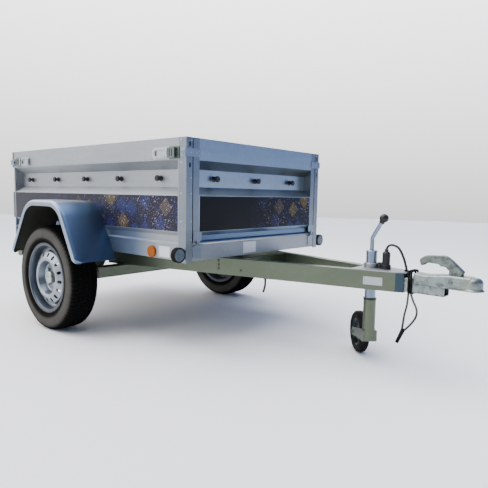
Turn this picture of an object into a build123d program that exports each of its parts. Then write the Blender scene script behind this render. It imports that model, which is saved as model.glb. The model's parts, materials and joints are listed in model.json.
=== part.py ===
"""Single-axle utility trailer: folded sheet box on a V drawbar, with drop gates and a swivelling jockey wheel.

Millimetres. +X forward to the coupling, +Y to the trailer's left, +Z up, floor at z = 0.
The origin is on the floor, half-way along the trailer and on its centre line.
"""

import os
from math import acos, cos, hypot, radians, sin, tan

from build123d import *

# ---- driving sizes -------------------------------------------------------------------------------------------

# Box
BOX_LENGTH = 1600
BOX_WIDTH = 1050
PANEL_HEIGHT = 467
SHEET = 2.5
RECESS_DEPTH = 50
RECESS_LOW = 217
RECESS_BAND = 96  # from its top edge to the panel's
RECESS_SLOPE = 38
SILL_INSET = 12
SILL_HIGH = 56
TOP_FOLD = 30
FLOOR_BOARD = 9
BOARD_GAP = 1

# Corner posts
POST_SIDE = 48
POST_FRONT = 37
POST_RETURN = 25
REAR_POST_SIDE = 10
POST_SKIRT = 6
POST_SLOT = (22, 10)
POST_SLOT_IN = 22  # from the box's side
POST_SLOTS = (29, 119)  # below the box's top

# Frame rails
RAIL_TOP = 496
RAIL_HEIGHT = 71
RAIL_FLANGE = 40
RAIL_SHEET = 3
MID_RAIL_FLANGE = 35
MID_RAILS = 2

# Gates
GATE_GAP = 5
GATE_LIFT = 6
GATE_CHANNEL = 37
REAR_GATE_PROUD = 20
REAR_GATE_EDGE = 14

# Gate hinges
PIN_RADIUS = 3
PIN_PLAY = 0.08
BARREL_RADIUS = 6
BARREL_LENGTH = 16
HINGE_LENGTH = 50
HINGE_LEAF = 3
HINGE_WEB = 4
HINGE_LEAF_LOW = 17  # above the rails
HINGE_FOOT_LOW = 12  # above the rails' foot
PIVOT_OUT = 9
PIVOT_DROP = 1
KNUCKLE_PLAY = 0.5

# Drawbar
ARM_HEIGHT = 80
ARM_FLANGE = 40
ARM_SHEET = 3
ARM_DROP = 12
ARM_REAR_X = -760
ARM_REAR_Y = 400
ARM_FRONT_X = 745
ARM_FRONT_Y = 50
ARM_NOSE_X = 775
ARM_MEET = 2  # from the centre line to each arm's flanges at the nose
CROSSMEMBER_X = -10
CROSSMEMBER_FLANGE = 35
TOP_PLATE_REAR = 560
TOP_PLATE_FRONT = 782
TOP_PLATE_SHEET = 4
CLAMP_WALL = 8
CLAMP_HEIGHT = 22

# Neck and coupling
NECK_SIZE = 60
NECK_WALL = 4
NECK_CORNER = 6
NECK_REAR_X = 690
NECK_FRONT_X = 936
BALL_RADIUS = 25
BALL_PLAY = 0.3
BALL_X = 1032
BALL_RISE = 50
SOCKET_DEPTH = 14
COUPLING_REAR_X = 812
COUPLING_WALL = 5
COUPLING_CROWN = 27  # above the neck
COUPLING_EDGE = 9
COUPLING_PAD = (42, 36, 1.5)  # along the neck, up and proud
PAD_BACK = 16  # from the neck's end to the pad's middle
CHEEK_DROP = 25  # below the neck's top
CUP_RADIUS = 36
CUP_LIP = 5
LIP_SHEET = 4
CUP_CROWN = 37  # above the ball's centre

DIMPLES = ((46, 3), (25, 6))  # back from the ball, above the neck
DIMPLE_RADIUS = 7
DIMPLE_DEPTH = 1.5

# Coupling lever
LEVER_WIDTH = 28
LEVER_SHEET = 3.5
LEVER_DISH = 9
LEVER_EDGE = 4
LEVER_GRIP_RISE = 45  # above the crown
LEVER_RISE = 80
LEVER_SLOT = (90, 36)  # back from the ball
LEVER_PIN = 5
LEVER_PIN_BACK = 72
LEVER_PIN_Z = 398

# Axle and wheels
AXLE_X = -853
WHEEL_RADIUS = 273.5
TYRE_WIDTH = 157
SIDEWALL_RADIUS = 222  # where the tyre is widest
TYRE_CLEARANCE = 47.5  # from the box's side
RIM_FLANGE_RADIUS = 182.5
RIM_SEAT_RADIUS = 166
RIM_WELL_RADIUS = 148
RIM_WELL_IN = -10  # inward and outward edges of the well's floor, from the wheel's middle plane
RIM_WELL_OUT = 20
RIM_WELL_SLOPE = 10
RIM_WIDTH = 139
RIM_SHEET = 4
DISC_SHEET = 5
DISC_EDGE_RADIUS = 139
DISC_EDGE_OUT = 47
HAT_RADIUS = 98
HAT_OUT = 66  # from the wheel's middle plane
FLOOR_RADIUS = 74
FLOOR_OUT = 28
VENTS = 16
VENT_RING = 119
VENT_LENGTH = 23
VENT_WIDTH = 16
VENT_TURN = 4.5
BOLTS = 4
BOLT_RING = 50
BOLT_RADIUS = 6.5
BOLT_HEAD = 10
BOLT_HEAD_HEIGHT = 12
HUB_RADIUS = 66
HUB_FLANGE = 15
HUB_INNER = -30
HUB_CAP_RADIUS = 32
HUB_CAP_OUT = 56
HUB_BORE = 20
HUB_PLAY = 0.08
BEAM_SIZE = 60
BEAM_WALL = 5
BEAM_AHEAD = 160
BEAM_Z = 300
BEAM_SHORT = 3  # of the box's side
BRACKET_FOOT = 45
BRACKET_REAR = 100
BRACKET_FRONT = 120
BRACKET_INSET = 4
BRACKET_SHEET = 5
BRACKET_FLANGE = 34
SUSPENSION_ARM = 24
SUSPENSION_GAP = 2
SUSPENSION_BOSS = 34
SUSPENSION_END = 26

# Mudguards
GUARD_OVERHANG = 15.5  # beyond the tyre
GUARD_TOP = 676
GUARD_HALF_BASE = 340
GUARD_HALF_TOP = 143
GUARD_FOOT = 385
GUARD_SHEET = 3
GUARD_LIP = 30
GUARD_BEND = 120

# Jockey wheel
JOCKEY_X = 613
JOCKEY_TUBE_RADIUS = 23
JOCKEY_TUBE_WALL = 3
JOCKEY_TUBE_TOP = 490
JOCKEY_TUBE_BOTTOM = 236
SLEEVE_PLAY = 0.6
SLEEVE_WALL = 3
SLEEVE_TOP = 276
SLEEVE_BOTTOM = 98
COLLAR_HEIGHT = 8
CRANK_RADIUS = 8.5
CRANK_BEND_Z = 546
CRANK_BEND = 25
CRANK_LEAN = 38
CRANK_RISE = 66
CRANK_BALL_RADIUS = 19
CRANK_NECK = 4
CASTOR_TRAIL = 130
CASTOR_ANGLE = 133.8
CASTOR_RADIUS = 96
CASTOR_WIDTH = 44
CASTOR_BORE = 8
CASTOR_PLAY = 0.08
FORK_SHEET = 4
FORK_GAP = 6

# Lamps
MARKER_RADIUS = 33
MARKER_OUT = 37  # of the box's side
MARKER_Z = 458
MARKER_DEPTH = 22
MARKER_RIM = 5
MARKER_PROUD = 4
MARKER_BRACKET = 28
MARKER_SHEET = 3
REFLECTOR_RADIUS = 28
REFLECTOR_X = -230
REFLECTOR_Z = 453
REFLECTOR_PROUD = 9
REFLECTOR_EDGE = 3
LAMP_BOARD_AHEAD = 25  # of the box's rear
LAMP_BOARD_BOTTOM = 310
LAMP_BOARD_END = 50
LAMP_BOARD_FOOT = 20
TAIL_LAMP_WIDTH = 200
TAIL_LAMP_HEIGHT = 92
TAIL_LAMP_DEPTH = 45
TAIL_LAMP_BASE = 25
TAIL_LAMP_CORNER = 8
TAIL_LAMP_LENS_INSET = 6
TAIL_LAMP_EDGE = 5
NUMBER_PLATE_WIDTH = 520
NUMBER_PLATE_HEIGHT = 104
NUMBER_PLATE_SHEET = 4

# Cover knobs
KNOB_RADIUS = 14
KNOB_STEM = 7
KNOB_REACH = 30
SIDE_KNOBS = 5
SIDE_KNOB_FRONT = 224
SIDE_KNOB_REAR = 148
GATE_KNOBS = 3
GATE_KNOB_MARGIN = 143

# Latches and straps
LATCH_DROP = 65  # below the box's top
LATCH_HEIGHT = 55
LATCH_LENGTH = 170
LATCH_SETBACK = 42
LATCH_SHEET = 3
CATCH_LENGTH = 60
CATCH_DEPTH = 14
LEVER_PLATE_LENGTH = 84
LEVER_PLATE_DEPTH = 10
STRAP_HEIGHT = 34
STRAP_SHEET = 3
STRAP_STANDOFF = 5.5
STRAP_SIDE = 26
STRAP_FACE_IN = 82  # from the box's side
EYE_RADIUS = 10

# Electric lead and its parking socket
PLUG_X = 680
PLUG_RADIUS = 16.5
PLUG_LIFT = 4
PLUG_LENGTH = 71
PLUG_CHAMFER = 7
PLUG_PLAY = 0.3
SOCKET_WALL = 4
SOCKET_RISE = 18
SOCKET_BRACKET = (34, 22, 18, 26)  # back to its two faces from the plug, across and up
GLAND_RADIUS = 8
GLAND_LENGTH = 10
LEAD_RADIUS = 5
GROMMET_X = 771
GROMMET_RADIUS = 9
GROMMET_RISE = 6

# Safety cable and the loom's loose end
CABLE_RADIUS = 4.2
CABLE_WRAP_X = (795.5, 805.5)
CABLE_WRAP_TOP = 424
SLEEVE_MOUTH = (8.9, 6.2)
SLEEVE_TIP = 6.5
TAIL_RADIUS = 5
TAIL_GROMMET_RISE = 3
TAIL_PLACE = (168, -175)

# ---- places that follow from them ----------------------------------------------------------------------------

HALF_WIDTH = BOX_WIDTH / 2
REAR_REACH = REAR_GATE_PROUD + PIVOT_OUT + BARREL_RADIUS
NOSE_REACH = BALL_X + CUP_RADIUS + CUP_LIP
BOX_FRONT = (BOX_LENGTH + REAR_REACH - NOSE_REACH) / 2
BOX_REAR = BOX_FRONT - BOX_LENGTH
RAIL_BOTTOM = RAIL_TOP - RAIL_HEIGHT
RECESS_HIGH = PANEL_HEIGHT - RECESS_BAND
BOX_TOP = RAIL_TOP + PANEL_HEIGHT
RAIL_FACE = HALF_WIDTH - SHEET
POST_INNER = HALF_WIDTH - POST_FRONT
GATE_HALF = POST_INNER - GATE_GAP
GATE_PANEL_HALF = GATE_HALF - GATE_CHANNEL
GATE_DEPTH = RECESS_DEPTH + SHEET
REAR_GATE_FACE = BOX_REAR - REAR_GATE_PROUD
PIVOT_Z = RAIL_TOP - PIVOT_DROP
ARM_TOP = RAIL_BOTTOM - ARM_DROP
ARM_BOTTOM = ARM_TOP - ARM_HEIGHT
NECK_BOTTOM = ARM_BOTTOM + ARM_SHEET
NECK_TOP = NECK_BOTTOM + NECK_SIZE
PLATE_TOP = ARM_TOP + TOP_PLATE_SHEET
BALL_Z = NECK_BOTTOM + BALL_RISE
HUB_X = BOX_FRONT + AXLE_X
BEAM_X = HUB_X + BEAM_AHEAD
WHEEL_Y = HALF_WIDTH + TYRE_CLEARANCE + TYRE_WIDTH / 2
MARKER_Y = HALF_WIDTH + MARKER_OUT
LAMP_BOARD_X = BOX_REAR + LAMP_BOARD_AHEAD
LAMP_BOARD_MIDDLE = (LAMP_BOARD_BOTTOM + RAIL_BOTTOM) / 2
JOCKEY_AXIS_X = BOX_FRONT + JOCKEY_X
KNOB_Z = RAIL_TOP + (RECESS_LOW + RECESS_HIGH) / 2
LATCH_Z = BOX_TOP - LATCH_DROP
BALL_CENTRE_X = BOX_FRONT + BALL_X
GUARD_WIDTH = TYRE_CLEARANCE + TYRE_WIDTH + GUARD_OVERHANG
NECK_HALF = NECK_SIZE / 2
CHEEK_HALF = NECK_HALF + COUPLING_WALL
CROWN_Z = NECK_TOP + COUPLING_CROWN
CHEEK_BOTTOM = NECK_TOP - CHEEK_DROP
PLUG_BOTTOM = PLATE_TOP + PLUG_LIFT
GLAND_TOP = PLUG_BOTTOM + PLUG_LENGTH + GLAND_LENGTH
WRAP_INSET = NECK_HALF - NECK_CORNER
WRAP_BEND = NECK_CORNER + CABLE_RADIUS
# The wrap's lower right corner, where both strands of the safety cable begin
STRAND_Y = -WRAP_INSET - WRAP_BEND * sin(radians(45))
STRAND_Z = NECK_BOTTOM + NECK_CORNER - WRAP_BEND * sin(radians(45))
SIDES = (-1, 1)

# Routes of the free cords: ahead of the box front, across to the left, up from the floor
LEAD_ROUTE = (
    (PLUG_X, 0, GLAND_TOP),
    (PLUG_X + 6, 0, GLAND_TOP + 21),
    (729, 0, GLAND_TOP + 17),
    (751, 0, 484),
    (765, 0, 448),
    (GROMMET_X, 0, PLATE_TOP + GROMMET_RISE),
)
CABLE_LEFT_ROUTE = (
    (CABLE_WRAP_X[0], STRAND_Y, STRAND_Z),
    (806, -60, 296),
    (813, -103, 266),
    (817, -122, 238),
    (817, -132, 206),
)
CABLE_RIGHT_ROUTE = (
    (CABLE_WRAP_X[1], STRAND_Y, STRAND_Z),
    (824, -54, 310),
    (855, -86, 286),
    (864, -110, 262),
    (848, -124, 229),
    (825, -133, 203.5),
)
SLEEVE_LINE = ((823, -130, 211), (805, -150, 155))
TAIL_ROUTE = (
    (*TAIL_PLACE, ARM_BOTTOM - TAIL_GROMMET_RISE),
    (168.5, -175.5, 309),
    (166, -176.5, 287.5),
    (159, -178, 267.5),
)


# ---- shared shapes -------------------------------------------------------------------------------------------


def block(x, y, z):
    """A box between pairs of limits, each pair in either order."""
    size = (abs(x[1] - x[0]), abs(y[1] - y[0]), abs(z[1] - z[0]))
    middle = ((x[0] + x[1]) / 2, (y[0] + y[1]) / 2, (z[0] + z[1]) / 2)
    return Pos(*middle) * Box(*size)


def along_x(section, low, high):
    """Extrude a (y, z) section between two x."""
    return extrude(Plane.YZ.offset(low) * section, high - low)


def along_y(section, low, high):
    """Extrude an (x, z) section between two y."""
    return extrude(Plane.XZ.offset(-high) * section, high - low)


def along_z(section, low, high):
    """Extrude an (x, y) section between two z."""
    return extrude(Plane.XY.offset(low) * section, high - low)


def polygon(points):
    return make_face(Polyline(*points, close=True))


def folded(points, thickness):
    """Section of a folded sheet: its outer line, with the thickness to the right of its direction."""
    normals = []
    for (x0, y0), (x1, y1) in zip(points, points[1:]):
        length = hypot(x1 - x0, y1 - y0)
        normals.append(((y1 - y0) / length, (x0 - x1) / length))
    inner = []
    for (x, y), (ax, ay), (bx, by) in zip(points, [normals[0], *normals], [*normals, normals[-1]]):
        mitre = thickness / (1 + ax * bx + ay * by)
        inner.append((x + mitre * (ax + bx), y + mitre * (ay + by)))
    return polygon([*points, *reversed(inner)])


def rounded(corners):
    """Face from (x, y, radius) corners in order, each corner turned by an arc of its radius."""
    edges = []
    last = None
    first = None
    ring = zip([corners[-1], *corners[:-1]], corners, [*corners[1:], corners[0]])
    for (x0, y0, _), (x, y, radius), (x1, y1, _) in ring:
        back = (Vector(x0, y0) - Vector(x, y)).normalized()
        on = (Vector(x1, y1) - Vector(x, y)).normalized()
        half = acos(max(-1, min(1, back.dot(on)))) / 2
        start = Vector(x, y) + back * (radius / tan(half))
        end = Vector(x, y) + on * (radius / tan(half))
        middle = Vector(x, y) + (back + on).normalized() * (radius / sin(half) - radius)
        if last is not None:
            edges.append(Line(last, start))
        else:
            first = start
        if radius:
            edges.append(ThreePointArc(start, middle, end))
        last = end
    edges.append(Line(last, first))
    return make_face(edges)


def cord(route, radius):
    """Round tube along a route of straight runs and tangent arcs, its radii set by the runs; prints the radii."""
    points = [Vector(BOX_FRONT + x, y, z) for x, y, z in route]
    edges = []
    radii = []
    start = points[0]
    for before, corner, after in zip(points, points[1:], points[2:]):
        back = (before - corner).normalized()
        on = (after - corner).normalized()
        half = acos(max(-1, min(1, back.dot(on)))) / 2
        cut = 0.45 * min((before - corner).length, (after - corner).length)
        radii.append(cut * tan(half))
        middle = corner + (back + on).normalized() * (radii[-1] / sin(half) - radii[-1])
        edges.append(Line(start, corner + back * cut))
        edges.append(ThreePointArc(corner + back * cut, middle, corner + on * cut))
        start = corner + on * cut
    edges.append(Line(start, points[-1]))
    path = Wire(edges)
    print("cord radii", [round(r, 1) for r in radii], "length", round(path.length, 1))
    return sweep(Plane(origin=path @ 0, z_dir=path % 0) * Circle(radius), path=path)


def rod(start, end, radius):
    """A round bar between two points."""
    axis = Vector(*end) - Vector(*start)
    return extrude(Plane(origin=start, z_dir=axis) * Circle(radius), axis.length)


def both_sides(shape):
    """The right-hand shape and its mirror on the left, as separate solids."""
    return Compound([*shape.solids(), *mirror(shape, about=Plane.XZ).solids()])


def group(*shapes):
    """Separate solids that share a node."""
    return Compound([solid for shape in shapes for solid in shape.solids()])


def save(node, shape):
    shape.label = node
    export_step(shape, f"parts/{node}.step")


# ---- box -----------------------------------------------------------------------------------------------------


def panel_outline(bottom):
    """Outer line of a side or gate, from its bottom edge to its top fold: (inset, height above the rails)."""
    return [
        (0, bottom),
        (0, bottom + 4),
        (SILL_INSET, bottom + SILL_INSET),
        (SILL_INSET, SILL_HIGH - 17),
        (0, SILL_HIGH),
        (0, RECESS_LOW),
        (RECESS_DEPTH, RECESS_LOW + RECESS_SLOPE),
        (RECESS_DEPTH, RECESS_HIGH - RECESS_SLOPE),
        (0, RECESS_HIGH),
        (0, PANEL_HEIGHT),
        (TOP_FOLD, PANEL_HEIGHT),
        (TOP_FOLD, PANEL_HEIGHT - TOP_FOLD / 2),
    ]


def recess_end():
    """The flat piece that closes the end of a recess, as (inset, height) corners."""
    return [
        (0, RECESS_LOW),
        (RECESS_DEPTH, RECESS_LOW + RECESS_SLOPE),
        (RECESS_DEPTH, RECESS_HIGH - RECESS_SLOPE),
        (0, RECESS_HIGH),
    ]


def side_panel():
    """The right side: one folded sheet between the posts, its recess closed at both ends."""
    front = BOX_FRONT - POST_SIDE
    rear = BOX_REAR + REAR_POST_SIDE
    outline = [(-HALF_WIDTH + inset, RAIL_TOP + height) for inset, height in panel_outline(0)]
    end = polygon([(-HALF_WIDTH + inset, RAIL_TOP + height) for inset, height in recess_end()])
    skin = along_x(folded(outline, SHEET), rear, front)
    return skin + along_x(end, rear, rear + SHEET) + along_x(end, front - SHEET, front)


def floor_board():
    half = HALF_WIDTH - SILL_INSET - SHEET - BOARD_GAP
    front = BOX_FRONT - GATE_DEPTH - GATE_GAP
    rear = REAR_GATE_FACE + GATE_DEPTH + GATE_GAP
    return block((rear, front), (-half, half), (RAIL_TOP, RAIL_TOP + FLOOR_BOARD))


def side_rail():
    """Right side rail: a C section open to the inside."""
    section = folded(
        [
            (-RAIL_FACE + RAIL_FLANGE, RAIL_BOTTOM),
            (-RAIL_FACE, RAIL_BOTTOM),
            (-RAIL_FACE, RAIL_TOP),
            (-RAIL_FACE + RAIL_FLANGE, RAIL_TOP),
        ],
        RAIL_SHEET,
    )
    return along_x(section, BOX_REAR + SHEET + RAIL_FLANGE, BOX_FRONT - SHEET - RAIL_FLANGE)


def end_rail(face, inward):
    """Cross rail at the front or rear, its web on face and its flanges towards the middle of the box."""
    outline = [
        (face + inward * RAIL_FLANGE, RAIL_BOTTOM),
        (face, RAIL_BOTTOM),
        (face, RAIL_TOP),
        (face + inward * RAIL_FLANGE, RAIL_TOP),
    ]
    if inward < 0:
        outline.reverse()
    return along_y(folded(outline, RAIL_SHEET), -RAIL_FACE, RAIL_FACE)


def mid_rail(x):
    """Cross rail under the board, coped to pass inside the side rails' flanges."""
    section = folded(
        [
            (x + MID_RAIL_FLANGE, RAIL_BOTTOM + RAIL_SHEET),
            (x, RAIL_BOTTOM + RAIL_SHEET),
            (x, RAIL_TOP),
            (x + MID_RAIL_FLANGE, RAIL_TOP),
        ],
        RAIL_SHEET,
    )
    half = RAIL_FACE - RAIL_SHEET
    rail = along_y(section, -half, half)
    flange_tip = RAIL_FACE - RAIL_FLANGE
    cope_x = (x - RAIL_SHEET, x + MID_RAIL_FLANGE + RAIL_SHEET)
    for side in SIDES:
        rail -= block(cope_x, (side * flange_tip, side * HALF_WIDTH), (RAIL_TOP - RAIL_SHEET, RAIL_TOP))
    return rail


def cross_rails():
    front = end_rail(BOX_FRONT - SHEET, -1)
    rear = end_rail(BOX_REAR + SHEET, 1)
    pitch = BOX_LENGTH / (MID_RAILS + 1)
    middle = [mid_rail(BOX_FRONT - pitch * (i + 1)) for i in range(MID_RAILS)]
    return group(front, rear, *middle)


def corner_post(outer_x, inward, side_width):
    """Right corner post: a folded L with returns above the floor, and a plain L down over the rails."""
    edge = outer_x + inward * side_width
    leg = outer_x + inward * (side_width - SHEET)
    plain = [(edge, -HALF_WIDTH), (outer_x, -HALF_WIDTH), (outer_x, -POST_INNER)]
    shaped = [(edge, -HALF_WIDTH + POST_RETURN / 2), *plain, (leg, -POST_INNER)]
    cap = [(edge, -HALF_WIDTH), (outer_x, -HALF_WIDTH), (outer_x, -POST_INNER), (edge, -POST_INNER)]
    if inward < 0:
        plain.reverse()
        shaped.reverse()
    upper = along_z(folded(shaped, SHEET), RAIL_TOP, BOX_TOP)
    slot = SlotOverall(*POST_SLOT, rotation=90)
    for drop in POST_SLOTS:
        place = Pos(-HALF_WIDTH + POST_SLOT_IN, BOX_TOP - drop)
        upper -= along_x(place * slot, outer_x - SHEET, outer_x + SHEET)
    skirt = along_z(folded(plain, SHEET), RAIL_BOTTOM - POST_SKIRT, RAIL_TOP)
    return upper + skirt + along_z(polygon(cap), BOX_TOP - SHEET, BOX_TOP)


def corner_posts():
    front = corner_post(BOX_FRONT, -1, POST_SIDE)
    rear = corner_post(BOX_REAR, 1, REAR_POST_SIDE)
    return both_sides(group(front, rear))


# ---- gates ---------------------------------------------------------------------------------------------------


def gate_points(points, face, inward):
    """(inset, height) corners turned into (x, z), in the order that puts the sheet inside its outer line."""
    turned = [(face + inward * inset, RAIL_TOP + height) for inset, height in points]
    return turned if inward > 0 else turned[::-1]


def gate_panel(face, inward):
    outline = gate_points(panel_outline(GATE_LIFT), face, inward)
    return along_y(folded(outline, SHEET), -GATE_PANEL_HALF, GATE_PANEL_HALF)


def gate_channel(face, inward, edge_depth):
    """Right end of a gate: an upright channel that closes the recess, shallower next to the side."""
    outline = [
        (face + inward * GATE_DEPTH, -GATE_PANEL_HALF),
        (face, -GATE_PANEL_HALF),
        (face, -GATE_HALF),
        (face + inward * edge_depth, -GATE_HALF),
    ]
    if inward > 0:
        outline.reverse()
    return along_z(folded(outline, SHEET), RAIL_TOP + GATE_LIFT, BOX_TOP)


def rear_gate_ear(low, high):
    """A band of the rear gate that laps over the corner post and folds forward at its edge."""
    edge = REAR_GATE_FACE + REAR_GATE_EDGE
    outline = [(edge, -HALF_WIDTH), (REAR_GATE_FACE, -HALF_WIDTH), (REAR_GATE_FACE, -GATE_HALF)]
    return along_z(folded(outline, SHEET), low, high)


def front_gate_ends():
    return both_sides(gate_channel(BOX_FRONT, -1, POST_SIDE - GATE_GAP))


def rear_gate_ends():
    end = gate_channel(REAR_GATE_FACE, 1, REAR_GATE_PROUD + REAR_POST_SIDE - GATE_GAP)
    end += rear_gate_ear(RAIL_TOP + SILL_HIGH, RAIL_TOP + RECESS_LOW)
    end += rear_gate_ear(RAIL_TOP + RECESS_HIGH, BOX_TOP)
    return both_sides(end)


def pivot_x(face, outward):
    return face + outward * PIVOT_OUT


def hinge_gate_side(face, outward):
    """Right hinge, gate's share: a leaf on the gate's face and the middle knuckle, bored for the pin."""
    x = pivot_x(face, outward)
    y = -GATE_HALF + HINGE_LENGTH / 2
    leaf_x = (face, face + outward * HINGE_LEAF)
    leaf_z = (RAIL_TOP + HINGE_LEAF_LOW, RAIL_TOP + SILL_HIGH)
    leaf = block(leaf_x, (y - HINGE_LENGTH / 2, y + HINGE_LENGTH / 2), leaf_z)
    knuckle = along_y(Pos(x, PIVOT_Z) * Circle(BARREL_RADIUS), y - BARREL_LENGTH / 2, y + BARREL_LENGTH / 2)
    web_z = (PIVOT_Z + BARREL_RADIUS / 2, RAIL_TOP + HINGE_LEAF_LOW + HINGE_LEAF)
    web = block((face, x), (y - BARREL_LENGTH / 2, y + BARREL_LENGTH / 2), web_z)
    bore = along_y(Pos(x, PIVOT_Z) * Circle(PIN_RADIUS + PIN_PLAY), y - HINGE_LENGTH, y + HINGE_LENGTH)
    return leaf + web + knuckle - bore


def hinge_frame_side(face, outward, rail_face):
    """Right hinge, frame's share: a foot on the cross rail, two outer knuckles and the pin."""
    x = pivot_x(face, outward)
    y = -GATE_HALF + HINGE_LENGTH / 2
    inner = BARREL_LENGTH / 2 + KNUCKLE_PLAY
    reach = (y - HINGE_LENGTH / 2, y + HINGE_LENGTH / 2)
    foot_x = (rail_face, rail_face + outward * HINGE_LEAF)
    seat = PIVOT_Z - BARREL_RADIUS
    foot = block(foot_x, reach, (RAIL_BOTTOM + HINGE_FOOT_LOW, seat + BARREL_RADIUS / 2))
    pin = along_y(Pos(x, PIVOT_Z) * Circle(PIN_RADIUS), *reach)
    for low, high in ((reach[0], y - inner), (y + inner, reach[1])):
        foot += along_y(Pos(x, PIVOT_Z) * Circle(BARREL_RADIUS), low, high)
        foot += block((rail_face, x), (low, high), (seat, seat + HINGE_WEB))
    return foot + pin


def strap(face, outward):
    """Right strap: screwed to the gate's end, bent round the corner post with room to swing past it."""
    side_y = -HALF_WIDTH - STRAP_STANDOFF
    front_x = face + outward * STRAP_SHEET
    reach_x = -STRAP_SIDE if outward > 0 else STRAP_SIDE + REAR_GATE_PROUD
    tail = face + reach_x
    outline = [(tail, side_y - STRAP_SHEET), (front_x, side_y - STRAP_SHEET), (front_x, -HALF_WIDTH + STRAP_FACE_IN)]
    if outward > 0:
        outline.reverse()
    half = STRAP_HEIGHT / 2
    band = along_z(folded(outline, STRAP_SHEET), LATCH_Z - half, LATCH_Z + half)
    eye_x = tail + (1 if outward > 0 else -1) * (EYE_RADIUS + 2)
    eye = Pos(eye_x, LATCH_Z) * (Circle(EYE_RADIUS) - Circle(EYE_RADIUS / 2))
    return band + along_y(eye, side_y - 2 * STRAP_SHEET, side_y - STRAP_SHEET)


def gate_fittings(face, outward):
    """What is fastened to a gate: a hinge leaf and a strap at each end."""
    return both_sides(group(hinge_gate_side(face, outward), strap(face, outward)))


def gate_hinge_feet():
    front = hinge_frame_side(BOX_FRONT, 1, BOX_FRONT - SHEET)
    rear = hinge_frame_side(REAR_GATE_FACE, -1, BOX_REAR + SHEET)
    return both_sides(group(front, rear))


# ---- cover knobs and latches ---------------------------------------------------------------------------------


def knob():
    """A spool-shaped knob for the cover's cord, standing on the XY plane along +Z."""
    outline = [
        (0, 0, 0),
        (KNOB_RADIUS - 1, 0, 0),
        (KNOB_RADIUS - 1, 5, 1.5),
        (KNOB_STEM, 9, 3),
        (KNOB_STEM, KNOB_REACH - 14, 3),
        (KNOB_RADIUS, KNOB_REACH - 10, 1.5),
        (KNOB_RADIUS, KNOB_REACH, 4),
        (0, KNOB_REACH, 0),
    ]
    return revolve(Plane.XZ * rounded(outline), Axis.Z)


def side_knobs():
    pitch = (BOX_LENGTH - SIDE_KNOB_FRONT - SIDE_KNOB_REAR) / (SIDE_KNOBS - 1)
    places = [BOX_FRONT - SIDE_KNOB_FRONT - pitch * i for i in range(SIDE_KNOBS)]
    right = [Pos(x, -HALF_WIDTH + RECESS_DEPTH, KNOB_Z) * Rot(90, 0, 0) * knob() for x in places]
    return both_sides(group(*right))


def gate_knobs(face, outward):
    """A row of knobs on a gate's recessed face."""
    first = -GATE_PANEL_HALF + GATE_KNOB_MARGIN
    base = face - outward * RECESS_DEPTH
    places = [first - 2 * first * i / (GATE_KNOBS - 1) for i in range(GATE_KNOBS)]
    return group(*[Pos(base, y, KNOB_Z) * Rot(0, 90 * outward, 0) * knob() for y in places])


def latch(end_x, direction):
    """Right over-centre latch: a plate on the side's top band, a ribbed catch by the strap and a dished lever."""

    def plate(start, length, height, low, high, corner):
        centre_x = end_x + direction * (start + length / 2)
        section = Pos(centre_x, LATCH_Z) * RectangleRounded(length, height, corner)
        return along_y(section, -HALF_WIDTH - high, -HALF_WIDTH - low)

    catch_height = LATCH_HEIGHT - 10
    catch_start = 18
    shape = plate(0, LATCH_LENGTH, LATCH_HEIGHT, 0, LATCH_SHEET, 6)
    shape += plate(catch_start, CATCH_LENGTH, catch_height, LATCH_SHEET, LATCH_SHEET + CATCH_DEPTH, 5)
    rib_pitch = CATCH_LENGTH / 4
    for i in range(3):
        start = catch_start + rib_pitch * (i + 1) - 3
        shape -= plate(start, 6, catch_height - 12, CATCH_DEPTH - 2, CATCH_DEPTH + 2 * LATCH_SHEET, 2.5)
    lever_start = LATCH_LENGTH - LEVER_PLATE_LENGTH - 2
    lever_high = LATCH_SHEET + LEVER_PLATE_DEPTH
    shape += plate(lever_start, LEVER_PLATE_LENGTH, catch_height - 2, LATCH_SHEET, lever_high, 10)
    shape -= plate(lever_start + 7, LEVER_PLATE_LENGTH - 22, catch_height - 18, LATCH_SHEET + 3, lever_high + 1, 8)
    pin_x = end_x + direction * (catch_start + CATCH_LENGTH + 4)
    half = catch_height / 2
    pin = Pos(pin_x, -HALF_WIDTH - LATCH_SHEET - 4.5) * Circle(4.5)
    return shape + along_z(pin, LATCH_Z - half, LATCH_Z + half)


def side_latches():
    front = latch(BOX_FRONT - LATCH_SETBACK, -1)
    rear = latch(BOX_REAR + LATCH_SETBACK, 1)
    return both_sides(group(front, rear))


# ---- drawbar and coupling ------------------------------------------------------------------------------------


def arm_line(inset):
    """Plan of the right arm's outer face, set in towards the centre line: rear end, shoulder and nose."""
    slope = (ARM_REAR_Y - ARM_FRONT_Y) / (ARM_FRONT_X - ARM_REAR_X)
    across = inset * hypot(1, slope)
    return [
        (BOX_FRONT + ARM_REAR_X, -ARM_REAR_Y + across),
        (BOX_FRONT + ARM_FRONT_X, -ARM_FRONT_Y + across),
    ]


def drawbar_arm():
    """Right arm: a C section open to the inside, its end folded in to the neck."""
    nose = (BOX_FRONT + ARM_NOSE_X, -NECK_SIZE / 2 - 1.5 * ARM_SHEET)
    outer = [*arm_line(0), nose]
    inner = arm_line(ARM_FLANGE)
    if inner[1][1] > -ARM_MEET:
        inner = [inner[0], flange_meets_centre(*inner)]
    flange = polygon([*outer, (nose[0], -ARM_MEET), (inner[1][0], -ARM_MEET), *reversed(inner)])
    web = folded(outer[::-1], ARM_SHEET)
    arm = along_z(flange, ARM_BOTTOM, ARM_BOTTOM + ARM_SHEET)
    arm += along_z(flange, ARM_TOP - ARM_SHEET, ARM_TOP)
    return arm + along_z(web, ARM_BOTTOM, ARM_TOP)


def flange_meets_centre(rear, front):
    """Where a flange's inner edge comes within ARM_MEET of the centre line."""
    share = (-ARM_MEET - rear[1]) / (front[1] - rear[1])
    return (rear[0] + share * (front[0] - rear[0]), -ARM_MEET)


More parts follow.
